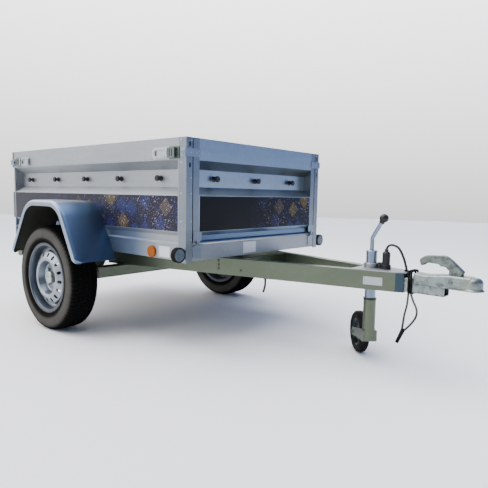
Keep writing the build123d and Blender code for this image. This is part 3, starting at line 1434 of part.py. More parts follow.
def main():
    os.makedirs("parts", exist_ok=True)
    panel = side_panel()
    arm = drawbar_arm()
    guard = mudguard()
    right_tyre = tyre()
    right_rim = rim()
    right_hub = hub()
    nodes = {
        "floor": floor_board(),
        "side_rails": both_sides(side_rail()),
        "cross_rails": cross_rails(),
        "side_panel_right": panel,
        "side_panel_left": mirrored(panel),
        "corner_posts": corner_posts(),
        "gate_hinge_feet": gate_hinge_feet(),
        "front_gate_panel": gate_panel(BOX_FRONT, -1),
        "front_gate_ends": front_gate_ends(),
        "front_gate_fittings": gate_fittings(BOX_FRONT, 1),
        "front_gate_knobs": gate_knobs(BOX_FRONT, 1),
        "rear_gate_panel": gate_panel(REAR_GATE_FACE, 1),
        "rear_gate_ends": rear_gate_ends(),
        "rear_gate_fittings": gate_fittings(REAR_GATE_FACE, -1),
        "rear_gate_knobs": gate_knobs(REAR_GATE_FACE, -1),
        "side_knobs": side_knobs(),
        "side_latches": side_latches(),
        "drawbar_arm_right": arm,
        "drawbar_arm_left": mirrored(arm),
        "drawbar_crossmember": drawbar_crossmember(),
        "drawbar_top_plate": drawbar_top_plate(),
        "neck_tube": neck_tube(),
        "coupling_head": coupling_head(),
        "coupling_handle": coupling_handle(),
        "axle_beam": axle_beam(),
        "axle_brackets": axle_brackets(),
        "suspension_arms": suspension_arms(),
        "tyre_right": right_tyre,
        "rim_right": right_rim,
        "hub_right": right_hub,
        "tyre_left": mirrored(right_tyre),
        "rim_left": mirrored(right_rim),
        "hub_left": mirrored(right_hub),
        "mudguard_right": guard,
        "mudguard_left": mirrored(guard),
        "jockey_tube": jockey_tube(),
        "jockey_crank": jockey_crank(),
        "crank_knob": crank_knob(),
        "jockey_collar": jockey_collar(),
        "jockey_sleeve": jockey_sleeve(),
        "jockey_tyre": jockey_tyre(),
        "jockey_rim": jockey_rim(),
        "marker_lamp_housings": marker_lamp_housings(),
        "marker_lamp_brackets": marker_lamp_brackets(),
        "marker_lamp_lenses": marker_lamp_lenses(),
        "side_reflectors": side_reflectors(),
        "lamp_board": lamp_board(),
        "tail_lamp_housings": tail_lamp_housings(),
        "tail_lamp_lenses": tail_lamp_lenses(),
        "number_plate": number_plate(),
        "plug_holder": plug_holder(),
        "plug": plug(),
        "plug_lead": cord(LEAD_ROUTE, LEAD_RADIUS),
        "cable_grommets": cable_grommets(),
        "cable_wrap": cable_wrap(),
        "safety_cable_left": cord(CABLE_LEFT_ROUTE, CABLE_RADIUS),
        "safety_cable_right": cord(CABLE_RIGHT_ROUTE, CABLE_RADIUS),
        "cable_sleeve": cable_sleeve(),
        "loom_tail": cord(TAIL_ROUTE, TAIL_RADIUS),
    }
    for node, shape in nodes.items():
        save(node, shape)


main()
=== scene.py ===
"""Looks of the utility trailer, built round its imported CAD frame. Metres; +X to the coupling, +Y left, +Z up."""

import json
from math import copysign, cos, pi, radians, sin, sqrt, tan

import bmesh
import bpy
from mathutils import Matrix, Vector


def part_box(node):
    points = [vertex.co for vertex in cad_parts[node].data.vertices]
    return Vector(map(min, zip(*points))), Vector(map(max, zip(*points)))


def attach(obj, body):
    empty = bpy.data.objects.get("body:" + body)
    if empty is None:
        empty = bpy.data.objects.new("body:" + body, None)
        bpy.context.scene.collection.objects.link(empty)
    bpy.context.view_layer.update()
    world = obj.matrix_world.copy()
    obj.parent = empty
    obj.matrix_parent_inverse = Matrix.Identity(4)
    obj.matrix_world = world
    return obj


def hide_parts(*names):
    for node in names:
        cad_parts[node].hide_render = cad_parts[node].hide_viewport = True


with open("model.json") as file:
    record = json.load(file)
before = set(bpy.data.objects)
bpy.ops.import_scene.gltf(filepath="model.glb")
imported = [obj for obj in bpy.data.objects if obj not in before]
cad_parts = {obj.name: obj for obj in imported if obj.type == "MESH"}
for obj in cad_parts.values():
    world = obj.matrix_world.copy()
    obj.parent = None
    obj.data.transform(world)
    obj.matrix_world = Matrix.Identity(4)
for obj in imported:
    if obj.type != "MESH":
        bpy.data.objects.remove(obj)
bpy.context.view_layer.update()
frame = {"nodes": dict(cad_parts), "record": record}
NODES = frame["nodes"]

# ---- driving sizes -------------------------------------------------------------------------------------------

# Camera
CAMERA_PLACE = (1.8456, -1.9722, 0.7216)
CAMERA_YAW = 0.7058
CAMERA_PITCH = 0.1002
CAMERA_ROLL = 0.0179
CAMERA_LENS = 36.265
SENSOR = 36.0

# Box, read from the frame
PANEL_LOW, PANEL_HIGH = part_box("side_panel_right")
POSTS_LOW, POSTS_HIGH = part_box("corner_posts")
GATE_LOW, GATE_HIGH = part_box("front_gate_panel")
SIDE_Y = PANEL_LOW.y
RAIL_TOP = PANEL_LOW.z
FRONT = POSTS_HIGH.x
REAR = POSTS_LOW.x

# Printed band on the lower flat of the sides and gates, above the rails
BAND_LOW = 0.058
BAND_HIGH = 0.215
BAND_THICK = 0.0004
BAND_MARGIN = 0.004
BAND_BEVEL = 0.0001
MOTIF_SCALE = 9.5

# Free cords, ahead of the box front, across to the left and up from the floor
LEAD_RADIUS = 0.005
LEAD_ROUTE = (
    (0.680, 0, 0.502),
    (0.686, 0, 0.523),
    (0.729, 0, 0.519),
    (0.751, 0, 0.484),
    (0.765, 0, 0.448),
    (0.771, 0, 0.423),
)
CABLE_RADIUS = 0.0042
CABLE_LEFT_ROUTE = (
    (0.7955, -0.0312, 0.3348),
    (0.806, -0.060, 0.296),
    (0.813, -0.103, 0.266),
    (0.817, -0.122, 0.238),
    (0.817, -0.132, 0.206),
)
CABLE_RIGHT_ROUTE = (
    (0.8055, -0.0312, 0.3348),
    (0.824, -0.054, 0.310),
    (0.855, -0.086, 0.286),
    (0.864, -0.110, 0.262),
    (0.848, -0.124, 0.229),
    (0.825, -0.133, 0.2035),
)
TAIL_RADIUS = 0.005
TAIL_ROUTE = (
    (0.168, -0.175, 0.330),
    (0.1685, -0.1755, 0.309),
    (0.166, -0.1765, 0.2875),
    (0.159, -0.178, 0.2675),
)

# Radii of the wheel: disc inside the rim's barrel, and the sidewall's two ends
WHEEL_DISC = 0.150
TYRE_BEAD = 0.1825
TYRE_SHOULDER = 0.262

# Tyre: the sidewall's points give how far each lies inside the half width, and its radius
TYRE_HALF = 0.0785
TYRE_CROWN = 0.2735
SIDEWALL = (
    (0.0130, 0.1825, "side"),
    (0.0095, 0.1850, "side"),
    (0.0085, 0.1900, "side"),
    (0.0060, 0.1915, "side"),
    (0.0040, 0.1985, "side"),
    (0.0017, 0.2080, "side"),
    (0.0, 0.2220, "side"),
    (0.0004, 0.2320, "side"),
    (0.0016, 0.2410, "side"),
    (0.0030, 0.2475, "side"),
    (0.0036, 0.2478, "side"),
    (0.0050, 0.2535, "shoulder"),
    (0.0075, 0.2600, "shoulder"),
    (0.0115, 0.2655, "shoulder"),
    (0.0170, 0.2690, "shoulder"),
)
SHOULDER = 0.0615
SHOULDER_BLOCK = 0.050  # ribs that reach beyond this are shoulder blocks
CROWN_DROP = 0.0045
CROWN_POWER = 2.4
TREAD_PITCHES = 78
TREAD_DEPTH = 0.0065
GROOVES = (-0.040, -0.0145, 0.0145, 0.040)
GROOVE_HALF = 0.0035
GROOVE_SLOPE = 0.0006
GROOVE_DROP = 0.003
SIPE_WIDTH = 0.0024
SIPE_RADIUS = 0.27  # where that width is taken
SIPE_SLANT = 0.55  # share of a pitch
SIPE_SHARE = 0.55  # share of the tread's depth
CUT_FROM = 0.2505  # radius where the shoulder's cuts begin, and how far on they are full
CUT_FADE = 0.012

# Painted shade for faces that look down, and a darker, bluer tint towards the bottom of the box: their shades,
# where the tint fades in up the box, and the stretch at its front left without it
DOWNWARD_SHADE = (0.10, 0.125, 0.13)
LOW_TINT = (0.10, 0.15, 0.24)
LOW_TINT_TOP = 0.60
LOW_TINT_FULL = 0.53
UNTINTED_FROM = 0.37
UNTINTED_FULL = 0.20

# Surroundings, in linear light
SKY_AHEAD_LOW = (0.33, 0.58, 1.10)
SKY_AHEAD_HIGH = (0.07, 0.19, 0.66)
SKY_NEAR_LOW = (1.15, 1.15, 1.15)
SKY_NEAR_HIGH = (4.6, 4.6, 4.7)
SKY_CAMERA = (0.25, 0.29, 0.34)
BACKDROP = (3.4, 3.4, 3.4)
HORIZON = (1.25, 1.25, 1.25)
WALL_RADIUS = 14.0
WALL_HEIGHT = 9.0
WALL_SIDES = 96
WALL_LOW = (1.22, 1.23, 1.26)
WALL_HIGH = (4.0, 4.0, 4.0)
SOFTBOX = (5.0, 4.6, 240)  # side, height and power
FLOOR_HALF = 30

# Blank plates: two labels' corners ahead of the box front, and the plate on the near drawbar arm
RAIL_LABEL = ((-0.181, -0.5225, 0.433), (-0.107, -0.5231, 0.482))
FRONT_LABEL = ((-0.0025, -0.139, 0.434), (-0.0018, -0.042, 0.489))
LABEL_BEVEL = 0.0002
ARM_DIRECTION = Vector((0.974, 0.227, 0))
ARM_PLATE_MIDDLE = Vector((0.937, -0.0709, 0.3708))
ARM_PLATE_SIZE = (0.080, 0.034)
ARM_PLATE_RIM = 0.004
ARM_PLATE_THICK = 0.0010
ARM_PLATE_FACE = 0.0016
ARM_PLATE_INSET = (0.009, 0.007)

# Mudguards
GUARD_TOP_REAR = -0.150
GUARD_TOP_FRONT = 0.178
GUARD_BEND = 0.150
GUARD_SHEET = 0.003
GUARD_EDGE = 0.006
GUARD_CROWN = 0.002
GUARD_SOFT = 0.001
GUARD_ROLL = 0.014
GUARD_LIP = 0.030
GUARD_LIP_END = 0.0165
GUARD_LIP_FADE = 0.040
GUARD_CORNER = 0.030
GUARD_FOOT_RISE = 0.018

# Where a guard's straight runs are divided, closest at its ends
RUN_IN_SHARES = (0, 0.01, 0.03, 0.06, 0.1, 0.15, 0.2, 0.5, 1)
RUN_OUT_SHARES = (0, 0.5, 0.8, 0.85, 0.9, 0.94, 0.97, 0.99, 1)

# Fastenings: radius and height of a dome, width across flats and height of a bolt head, washer's thickness
RIVET = (0.0042, 0.0022)
SMALL_RIVET = (0.003, 0.0015)
PLATE_RIVET = (0.002, 0.001)
ARM_BOLT = (0.010, 0.005)
WASHER = 0.0016

# Where they sit: heights, distances across from the middle, and places along from the box front
POST_RIVETS = (0.600, 0.722, 0.855, 0.950)
POST_RIVETS_BACK = 0.031
FLANGE_RIVETS = (0.520, 0.600, 0.722, 0.790, 0.950)
FLANGE_RIVETS_ACROSS = 0.4935
SILL_SCREWS = (-0.221, -0.60, -0.98, -1.36)
SILL_SCREWS_RISE = 0.0025
STRAP_THICK = 0.003
STRAP_HEIGHT = 0.898
STRAP_RIVETS = ((0.499, 0), (0.465, 0), (0.451, 0.008), (0.451, -0.012))
GATE_RIVETS = (0.425, 0.392)
ARM_BOLTS = ((0.208, -0.2404, 0.400), (0.208, -0.2404, 0.380), (0.208, -0.2404, 0.361), (0.328, -0.2124, 0.361))

# A latch's catch, by distance from the box's end, with its soft border
LATCH_CATCH = (0.030, 0.108)
LATCH_BORDER = 0.003


# ---- shader helpers ------------------------------------------------------------------------------------------


class Nodes:
    """A node tree being built: a call adds its nodes and links what it is given."""

    def __init__(self, owner, output):
        owner.use_nodes = True
        self.tree = owner.node_tree
        self.tree.nodes.clear()
        self.output = self.tree.nodes.new(output)

    def node(self, kind, inputs=None, **settings):
        """A node with values or sockets for its inputs, and its settings."""
        made = self.tree.nodes.new(kind)
        for key, value in settings.items():
            setattr(made, key, value)
        for key, value in (inputs or {}).items():
            self.feed(made.inputs[key], value)
        return made

    def feed(self, socket, value):
        """Link a socket to another, or give it a value."""
        if isinstance(value, bpy.types.NodeSocket):
            self.tree.links.new(value, socket)
        else:
            socket.default_value = value

    def remap(self, value, low, high, to_low, to_high):
        """A value's range stretched to another and clamped to it."""
        inputs = {"Value": value, "From Min": low, "From Max": high, "To Min": to_low, "To Max": to_high}
        return self.node("ShaderNodeMapRange", inputs).outputs[0]

    def mix(self, share, first, second):
        """The first colour turning into the second as share goes from 0 to 1."""
        made = self.node("ShaderNodeMix", data_type="RGBA")
        self.feed(made.inputs[0], share)
        self.feed(made.inputs[6], first if isinstance(first, bpy.types.NodeSocket) else colour(first))
        self.feed(made.inputs[7], second if isinstance(second, bpy.types.NodeSocket) else colour(second))
        return made.outputs[2]

    def dot(self, first, second):
        made = self.node("ShaderNodeVectorMath", operation="DOT_PRODUCT")
        self.feed(made.inputs[0], first)
        self.feed(made.inputs[1], second)
        return made.outputs["Value"]

    def maths(self, operation, first, second=0.0):
        made = self.node("ShaderNodeMath", operation=operation)
        self.feed(made.inputs[0], first)
        self.feed(made.inputs[1], second)
        return made.outputs[0]


class Shader(Nodes):
    """A material being built."""

    def __init__(self, name):
        self.material = bpy.data.materials.new(name)
        super().__init__(self.material, "ShaderNodeOutputMaterial")
        self.place = self.node("ShaderNodeTexCoord").outputs["Object"]
        self.normal = self.node("ShaderNodeNewGeometry").outputs["Normal"]

    def noise(self, scale, detail, roughness=0.55, stretch=(1, 1, 1)):
        place = self.node("ShaderNodeMapping", {"Vector": self.place, "Scale": stretch}).outputs[0]
        inputs = {"Vector": place, "Scale": scale, "Detail": detail, "Roughness": roughness}
        return self.node("ShaderNodeTexNoise", inputs).outputs[0]

    def cells(self, scale, feature="F1", output="Distance"):
        inputs = {"Vector": self.place, "Scale": scale}
        return self.node("ShaderNodeTexVoronoi", inputs, feature=feature).outputs[output]

    def from_axis(self, centre):
        """Distance from a wheel's axis, which runs along Y through centre."""
        spread = self.node("ShaderNodeSeparateXYZ", {"Vector": self.place})
        across = self.maths("SUBTRACT", spread.outputs[0], centre.x)
        rise = self.maths("SUBTRACT", spread.outputs[2], centre.z)
        squared = self.maths("ADD", self.maths("MULTIPLY", across, across), self.maths("MULTIPLY", rise, rise))
        return self.maths("SQRT", squared)

    def worn_edge(self, radius=0.004):
        """1 along outer edges, 0 on flat faces."""
        bevel = self.node("ShaderNodeBevel", {"Radius": radius}, samples=4).outputs[0]
        return self.remap(self.dot(bevel, self.normal), 0.98, 0.80, 0.0, 1.0)

    def underside(self):
        """0 on faces that look up or out, 1 on faces that look down at the road."""
        return self.remap(self.node("ShaderNodeSeparateXYZ", {"Vector": self.normal}).outputs[2], -0.15, -0.6, 0, 1)

    def bump(self, height, strength, distance):
        inputs = {"Height": height, "Strength": strength, "Distance": distance}
        return self.node("ShaderNodeBump", inputs).outputs[0]

    def surface(self, **inputs):
        made = self.node("ShaderNodeBsdfPrincipled", {key.replace("_", " "): v for key, v in inputs.items()})
        self.tree.links.new(made.outputs[0], self.output.inputs[0])
        return self.material


def colour(shade):
    """(r, g, b) in linear light as the four numbers that a socket takes."""
    return (*shade, 1.0) if len(shade) == 3 else tuple(shade)


def dimmed(shade, share):
    """A shade with each of its parts multiplied by share."""
    return tuple(part * share for part in shade)


# ---- materials -----------------------------------------------------------------------------------------------


def galvanised(
    name, shade, roughness, spangle=60.0, metallic=0.97, down_shade=0.0, low_tint=0.0, ahead_shade=None, untinted_front=False
):
    """Zinc-coated sheet: faint spangle, rolling streaks, duller patches and brighter cut edges.

    It can take painted shade on the faces that look down, a darker tint on the low ones (left out near the front
    where asked) and a painted shade on the faces that look ahead.
    """
    s = Shader(name)
    grain = s.cells(spangle, output="Color")
    grain = s.node("ShaderNodeSeparateColor", {"Color": grain}).outputs[0]
    streaks = s.noise(3.0, 4.0, 0.6, (1, 1, 14))
    patches = s.noise(2.2, 5.0, 0.6)
    base = s.mix(s.remap(grain, 0, 1, 0, 0.22), shade, dimmed(shade, 0.72))
    base = s.mix(s.remap(patches, 0.35, 0.7, 0, 0.35), base, dimmed(shade, 0.8))
    base = s.mix(s.remap(streaks, 0.4, 0.75, 0, 0.25), base, dimmed(shade, 1.12))
    base = s.mix(s.maths("MULTIPLY", s.worn_edge(), 0.5), base, dimmed(shade, 1.25))
    # painted shade: faces that look down are darkened in place of the shade they reflect from below
    base = s.mix(s.maths("MULTIPLY", s.underside(), down_shade), base, DOWNWARD_SHADE)
    # darker, bluer tint towards the bottom of the box, left out near its front where asked
    spread = s.node("ShaderNodeSeparateXYZ", {"Vector": s.place})
    untinted = s.remap(spread.outputs[0], FRONT - UNTINTED_FROM, FRONT - UNTINTED_FULL, 1, 0) if untinted_front else 1.0
    low = s.remap(spread.outputs[2], LOW_TINT_TOP, LOW_TINT_FULL, 0, low_tint)
    base = s.mix(s.maths("MULTIPLY", low, untinted), base, LOW_TINT)
    # painted shade: faces that look ahead take a darker, bluer shade, standing in for the darker reflection they
    # show
    if ahead_shade:
        ahead = s.node("ShaderNodeSeparateXYZ", {"Vector": s.normal}).outputs[0]
        base = s.mix(s.remap(ahead, 0.3, 0.42, 0, 1), base, ahead_shade)
    rough = s.remap(patches, 0.3, 0.7, roughness, roughness + 0.09)
    waves = s.bump(s.noise(4.0, 0.0), 0.15, 0.004)
    return s.surface(Base_Color=base, Metallic=metallic, Roughness=rough, Normal=waves)


def latch_zinc(name, shade, catch):
    """Plated latch: bright lever plates and a dull olive catch, told apart by distance from the box's ends."""
    s = Shader(name)
    mottle = s.noise(60.0, 4.0, 0.6)
    run = s.node("ShaderNodeSeparateXYZ", {"Vector": s.place}).outputs[0]
    from_middle = s.maths("ABSOLUTE", s.maths("SUBTRACT", run, (FRONT + REAR) / 2))
    from_end = s.maths("SUBTRACT", (FRONT - REAR) / 2, from_middle)
    near_side = s.remap(from_end, LATCH_CATCH[1], LATCH_CATCH[1] - LATCH_BORDER, 0, 1)
    far_side = s.remap(from_end, LATCH_CATCH[0], LATCH_CATCH[0] + LATCH_BORDER, 0, 1)
    within = s.maths("MULTIPLY", near_side, far_side)
    base = s.mix(s.remap(mottle, 0.4, 0.7, 0, 0.5), shade, dimmed(shade, 0.75))
    base = s.mix(s.maths("MULTIPLY", within, 0.9), base, catch)
    base = s.mix(s.maths("MULTIPLY", s.worn_edge(0.002), 0.4), base, dimmed(shade, 1.2))
    return s.surface(Base_Color=base, Metallic=0.9, Roughness=s.remap(mottle, 0.3, 0.7, 0.3, 0.45))


def cast_zinc(name, shade):
    """Zinc-plated pressing: cloudy plating with dark handling marks, rubbed pale at its edges."""
    s = Shader(name)
    mottle = s.noise(42.0, 6.0, 0.7)
    patches = s.noise(11.0, 4.0, 0.6)
    base = s.mix(s.remap(mottle, 0.45, 0.64, 0, 0.8), dimmed(shade, 1.1), dimmed(shade, 0.35))
    base = s.mix(s.remap(patches, 0.5, 0.66, 0, 0.5), base, dimmed((0.35, 0.36, 0.27), sum(shade) / 0.9))
    base = s.mix(s.worn_edge(0.003), base, dimmed(shade, 1.7))
    return s.surface(
        Base_Color=base,
        Metallic=0.85,
        Roughness=s.remap(mottle, 0.3, 0.7, 0.28, 0.5),
        Normal=s.bump(s.noise(90.0, 4.0), 0.2, 0.003),
    )


def wheel_paint(name, shade, barrel_shade, centre, disc):
    """Silver wheel enamel: light disc, with painted shade: a blue-grey barrel and a dark flange beyond the disc's
    radius.
    """
    s = Shader(name)
    dust = s.noise(14.0, 5.0, 0.6)
    flake = s.noise(900.0, 1.0)
    facing = s.maths("ABSOLUTE", s.node("ShaderNodeSeparateXYZ", {"Vector": s.normal}).outputs[1])
    base = s.mix(s.remap(dust, 0.45, 0.75, 0, 0.4), shade, dimmed(shade, 0.6))
    base = s.mix(s.remap(flake, 0.4, 0.6, 0, 0.12), base, dimmed(shade, 1.3))
    base = s.mix(s.maths("MULTIPLY", s.worn_edge(0.003), 0.4), base, dimmed(shade, 1.3))
    # painted shade: faces that turn from the side take the barrel's darker blue-grey, and beyond the disc's radius
    # they go darker still
    base = s.mix(s.remap(facing, 0.75, 0.35, 0, 1), base, barrel_shade)
    beyond = s.remap(s.from_axis(centre), disc, disc + 0.006, 0, 0.9)
    outside = s.maths("MULTIPLY", beyond, s.remap(facing, 0.3, 0.6, 0, 1))
    base = s.mix(outside, base, dimmed(barrel_shade, 0.2))
    return s.surface(Base_Color=base, Metallic=0.85, Roughness=s.remap(dust, 0.3, 0.7, 0.28, 0.42))


def dark_steel(name, shade):
    """Black-painted axle steel with dust."""
    s = Shader(name)
    dust = s.noise(18.0, 5.0, 0.6)
    base = s.mix(s.remap(dust, 0.4, 0.75, 0, 0.6), shade, (0.16, 0.14, 0.11))
    base = s.mix(s.maths("MULTIPLY", s.worn_edge(), 0.4), base, (0.3, 0.29, 0.27))
    return s.surface(
        Base_Color=base,
        Metallic=0.3,
        Roughness=s.remap(dust, 0.3, 0.7, 0.45, 0.7),
        Normal=s.bump(s.noise(90.0, 3.0), 0.15, 0.002),
    )


def moulded(name, shade, roughness, shine=0.3):
    """Moulded plastic or rubber: fine grain, slight sheen change and dust."""
    s = Shader(name)
    dust = s.noise(22.0, 4.0, 0.6)
    base = s.mix(s.remap(dust, 0.45, 0.8, 0, 0.3), shade, tuple(0.7 * part + 0.03 for part in shade))
    base = s.mix(s.maths("MULTIPLY", s.worn_edge(0.002), 0.25), base, tuple(part + 0.06 for part in shade))
    return s.surface(
        Base_Color=base,
        Specular_IOR_Level=shine,
        Roughness=s.remap(dust, 0.3, 0.7, roughness - 0.04, roughness + 0.12),
        Normal=s.bump(s.noise(420.0, 2.0), 0.12, 0.001),
    )


def tyre_rubber(name, tread, sidewall, centre, bead, shoulder):
    """Tyre rubber: tread near-black and darker still as painted shade; dusty sidewall, darker to bead and shoulder.
    """
    s = Shader(name)
    dust = s.noise(16.0, 6.0, 0.65)
    fine = s.noise(320.0, 3.0)
    facing = s.node("ShaderNodeSeparateXYZ", {"Vector": s.normal}).outputs[1]
    flank = s.remap(s.maths("ABSOLUTE", facing), 0.45, 0.9, 0, 1)
    reach = s.from_axis(centre)
    above_bead = s.remap(reach, bead + 0.018, bead + 0.034, 0, 1)
    below_shoulder = s.remap(reach, shoulder, shoulder - 0.015, 0, 1)
    dusty = s.maths("MULTIPLY", above_bead, below_shoulder)
    wall = s.mix(s.remap(dust, 0.3, 0.75, 0.0, 0.6), sidewall, dimmed(sidewall, 0.55))
    wall = s.mix(dusty, dimmed(sidewall, 0.12), wall)
    base = s.mix(flank, tread, wall)
    base = s.mix(s.remap(fine, 0.5, 0.8, 0, 0.12), base, (0.05, 0.047, 0.042))
    return s.surface(
        Base_Color=base,
        Roughness=s.remap(dust, 0.3, 0.7, 0.6, 0.85),
        Specular_IOR_Level=0.0,
        Normal=s.bump(fine, 0.2, 0.001),
    )


def lens(name, shade, clarity, coat=0.3):
    """Moulded lamp lens with fine flutes; clarity is the share of light that passes, coat its gloss."""
    s = Shader(name)
    flutes = s.node("ShaderNodeTexWave", {"Vector": s.place, "Scale": 95.0, "Distortion": 0.4}, bands_direction="Z")
    spots = s.noise(60.0, 2.0)
    base = s.mix(s.remap(spots, 0.4, 0.7, 0, 0.35), shade, dimmed(shade, 0.7))
    return s.surface(
        Base_Color=base,
        Roughness=0.12,
        Transmission_Weight=clarity,
        Specular_IOR_Level=coat,
        Coat_Weight=coat,
        Coat_Roughness=0.05,
        Normal=s.bump(flutes.outputs[1], 0.25, 0.002),
    )


def phenolic_board(name):
    """Brown film-faced plywood with an anti-slip mesh print."""
    s = Shader(name)
    grid = s.cells(180.0, "DISTANCE_TO_EDGE")
    wear = s.noise(5.0, 5.0, 0.6)
    base = s.mix(s.remap(wear, 0.4, 0.75, 0, 0.6), (0.075, 0.04, 0.022), (0.17, 0.12, 0.085))
    base = s.mix(s.remap(grid, 0.02, 0.08, 0.5, 0), base, (0.03, 0.018, 0.012))
    return s.surface(
        Base_Color=base,
        Roughness=s.remap(wear, 0.3, 0.7, 0.4, 0.65),
        Normal=s.bump(s.remap(grid, 0.0, 0.08, 1, 0), 0.35, 0.002),
    )


def wheel_centre(node):
    """Middle of a rim in its own object's coordinates."""
    low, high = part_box(node)
    return (low + high) / 2 - NODES[node].matrix_world.translation


LIGHT_ZINC = (0.33, 0.345, 0.36)
GATE_ZINC = (0.33, 0.38, 0.43)
GUARD_ZINC = (0.29, 0.33, 0.39)
# painted shade for the guard's faces that look ahead
GUARD_NOSE_SHADE = (0.095, 0.15, 0.26)
POST_ZINC = (0.21, 0.235, 0.26)
OLD_ZINC = (0.12, 0.14, 0.10)
TUBE_ZINC = (0.20, 0.25, 0.33)
# painted shade for the near arm's faces that look ahead
ARM_NOSE_SHADE = (0.045, 0.07, 0.09)
FITTING_ZINC = (0.25, 0.29, 0.34)
UNDERSEAL = (0.018, 0.02, 0.014)
# the second shade of each pair below is painted shade for the barrel
WHEEL_SILVER = ((0.27, 0.29, 0.32), (0.15, 0.18, 0.22))  # disc and barrel
JOCKEY_SILVER = ((0.016, 0.026, 0.027), (0.010, 0.016, 0.017))
JOCKEY_DISC = 1.0  # beyond the rim, so that the whole rim keeps its shades
# black rubber made darker still as painted shade, for a tread that faces away from the light
TREAD_BLACK_AND_SHADE = (0.005, 0.005, 0.005)
SIDEWALL_DUST = (0.085, 0.081, 0.074)

FINISHES = {
    "galvanised": lambda name: galvanised(name, LIGHT_ZINC, 0.48, low_tint=0.85, untinted_front=True),
    "zinc_bright": lambda name: galvanised(name, (0.42, 0.46, 0.50), 0.28, 120.0),
    "zinc_cast": lambda name: cast_zinc(name, (0.20, 0.235, 0.23)),
    "steel": lambda name: dark_steel(name, (0.05, 0.05, 0.05)),
    "wheel_silver": lambda name: wheel_paint(name, *WHEEL_SILVER, wheel_centre("rim_right"), WHEEL_DISC),
    "board": phenolic_board,
    "tyre": lambda name: tyre_rubber(
        name, TREAD_BLACK_AND_SHADE, SIDEWALL_DUST, wheel_centre("rim_right"), TYRE_BEAD, TYRE_SHOULDER
    ),
    "rubber": lambda name: moulded(name, (0.006, 0.006, 0.006), 0.6, shine=0.05),
    "black_plastic": lambda name: moulded(name, (0.011, 0.011, 0.012), 0.32),
    "grey_plastic": lambda name: moulded(name, (0.18, 0.19, 0.2), 0.45),
    "white_plastic": lambda name: moulded(name, (0.75, 0.75, 0.72), 0.3),
    "clear_lens": lambda name: lens(name, (0.08, 0.11, 0.14), 0.2),
    "amber_lens": lambda name: lens(name, (0.28, 0.072, 0.008), 0.0, 0.06),
    "red_lens": lambda name: lens(name, (0.45, 0.01, 0.01), 0.1),
    "older_zinc": lambda name: galvanised(name, OLD_ZINC, 0.36, 45.0, 0.95, 0.6),
    "arm_zinc": lambda name: galvanised(name, OLD_ZINC, 0.36, 45.0, 0.95, 0.6, ahead_shade=ARM_NOSE_SHADE),
    # painted light: a lighter copy of the older zinc, lifting the far arm's inner face out of the box's shadow
    "far_arm_painted_light": lambda name: galvanised(name, dimmed(OLD_ZINC, 1.9), 0.45, 45.0, 0.95, 0.3),
    # the gates carry the strongest painted shade on their faces that look down
    "gate_zinc": lambda name: galvanised(name, GATE_ZINC, 0.28, down_shade=0.85, low_tint=0.95),
    "tube_zinc": lambda name: galvanised(name, TUBE_ZINC, 0.28),
    "guard_zinc": lambda name: galvanised(name, GUARD_ZINC, 0.28, 30.0, down_shade=0.6, ahead_shade=GUARD_NOSE_SHADE),
    "post_zinc": lambda name: galvanised(name, POST_ZINC, 0.28),
    "hub_zinc": lambda name: cast_zinc(name, (0.40, 0.43, 0.42)),
    "handle_zinc": lambda name: cast_zinc(name, (0.15, 0.175, 0.16)),
    "latch_zinc": lambda name: latch_zinc(name, (0.44, 0.46, 0.48), (0.09, 0.12, 0.10)),
    "fitting_zinc": lambda name: galvanised(name, FITTING_ZINC, 0.32, 90.0),
    "underseal": lambda name: moulded(name, UNDERSEAL, 0.7),
    "jockey_silver": lambda name: wheel_paint(name, *JOCKEY_SILVER, wheel_centre("jockey_rim"), JOCKEY_DISC),
}

# Nodes that differ from their material slot's finish
OWN_FINISH_NODES = {
    "older_zinc": ("drawbar_crossmember", "lamp_board", "jockey_sleeve", "axle_beam", "axle_brackets"),
    "arm_zinc": ("drawbar_arm_right",),
    "far_arm_painted_light": ("drawbar_arm_left",),
    "gate_zinc": ("front_gate_panel", "rear_gate_panel"),
    "guard_zinc": ("mudguard_right", "mudguard_left"),
    "post_zinc": ("corner_posts", "front_gate_ends", "rear_gate_ends"),
    "hub_zinc": ("hub_right", "hub_left"),
    "tube_zinc": ("jockey_tube", "jockey_crank"),
    "zinc_cast": ("neck_tube", "coupling_head"),
    "handle_zinc": ("coupling_handle",),
    "latch_zinc": ("side_latches",),
    "fitting_zinc": ("front_gate_fittings", "rear_gate_fittings", "gate_hinge_feet"),
    "jockey_silver": ("jockey_rim",),
}


def dress_cad_nodes():
    """Give every carried-over node its own finish or that of its material slot; return the finishes by name."""
    made = {name: build(name) for name, build in FINISHES.items()}
    own = {node: finish for finish, nodes in OWN_FINISH_NODES.items() for node in nodes}
    for part in frame["record"]["subparts"]:
        node = NODES[part["node"]]
        node.data.materials.clear()
        node.data.materials.append(made[own.get(part["node"], part["material_slot"])])
    return made


# ---- mesh helpers --------------------------------------------------------------------------------------------


def piece(name, made, finish, body, sharp=35):
    """A finished piece of the scene from a bmesh, riding on a body; edges over sharp degrees stay crisp."""
    mesh = bpy.data.meshes.new(name)
    made.to_mesh(mesh)
    made.free()
    for face in mesh.polygons:
        face.use_smooth = True
    mesh.set_sharp_from_angle(angle=radians(sharp))
    mesh.materials.append(finish)
    made_object = bpy.data.objects.new(name, mesh)
    bpy.context.scene.collection.objects.link(made_object)
    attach(made_object, body)
    return made_object


def axes(normal):
    """Two directions across a normal."""
    across = normal.orthogonal().normalized()
    return across, normal.cross(across)


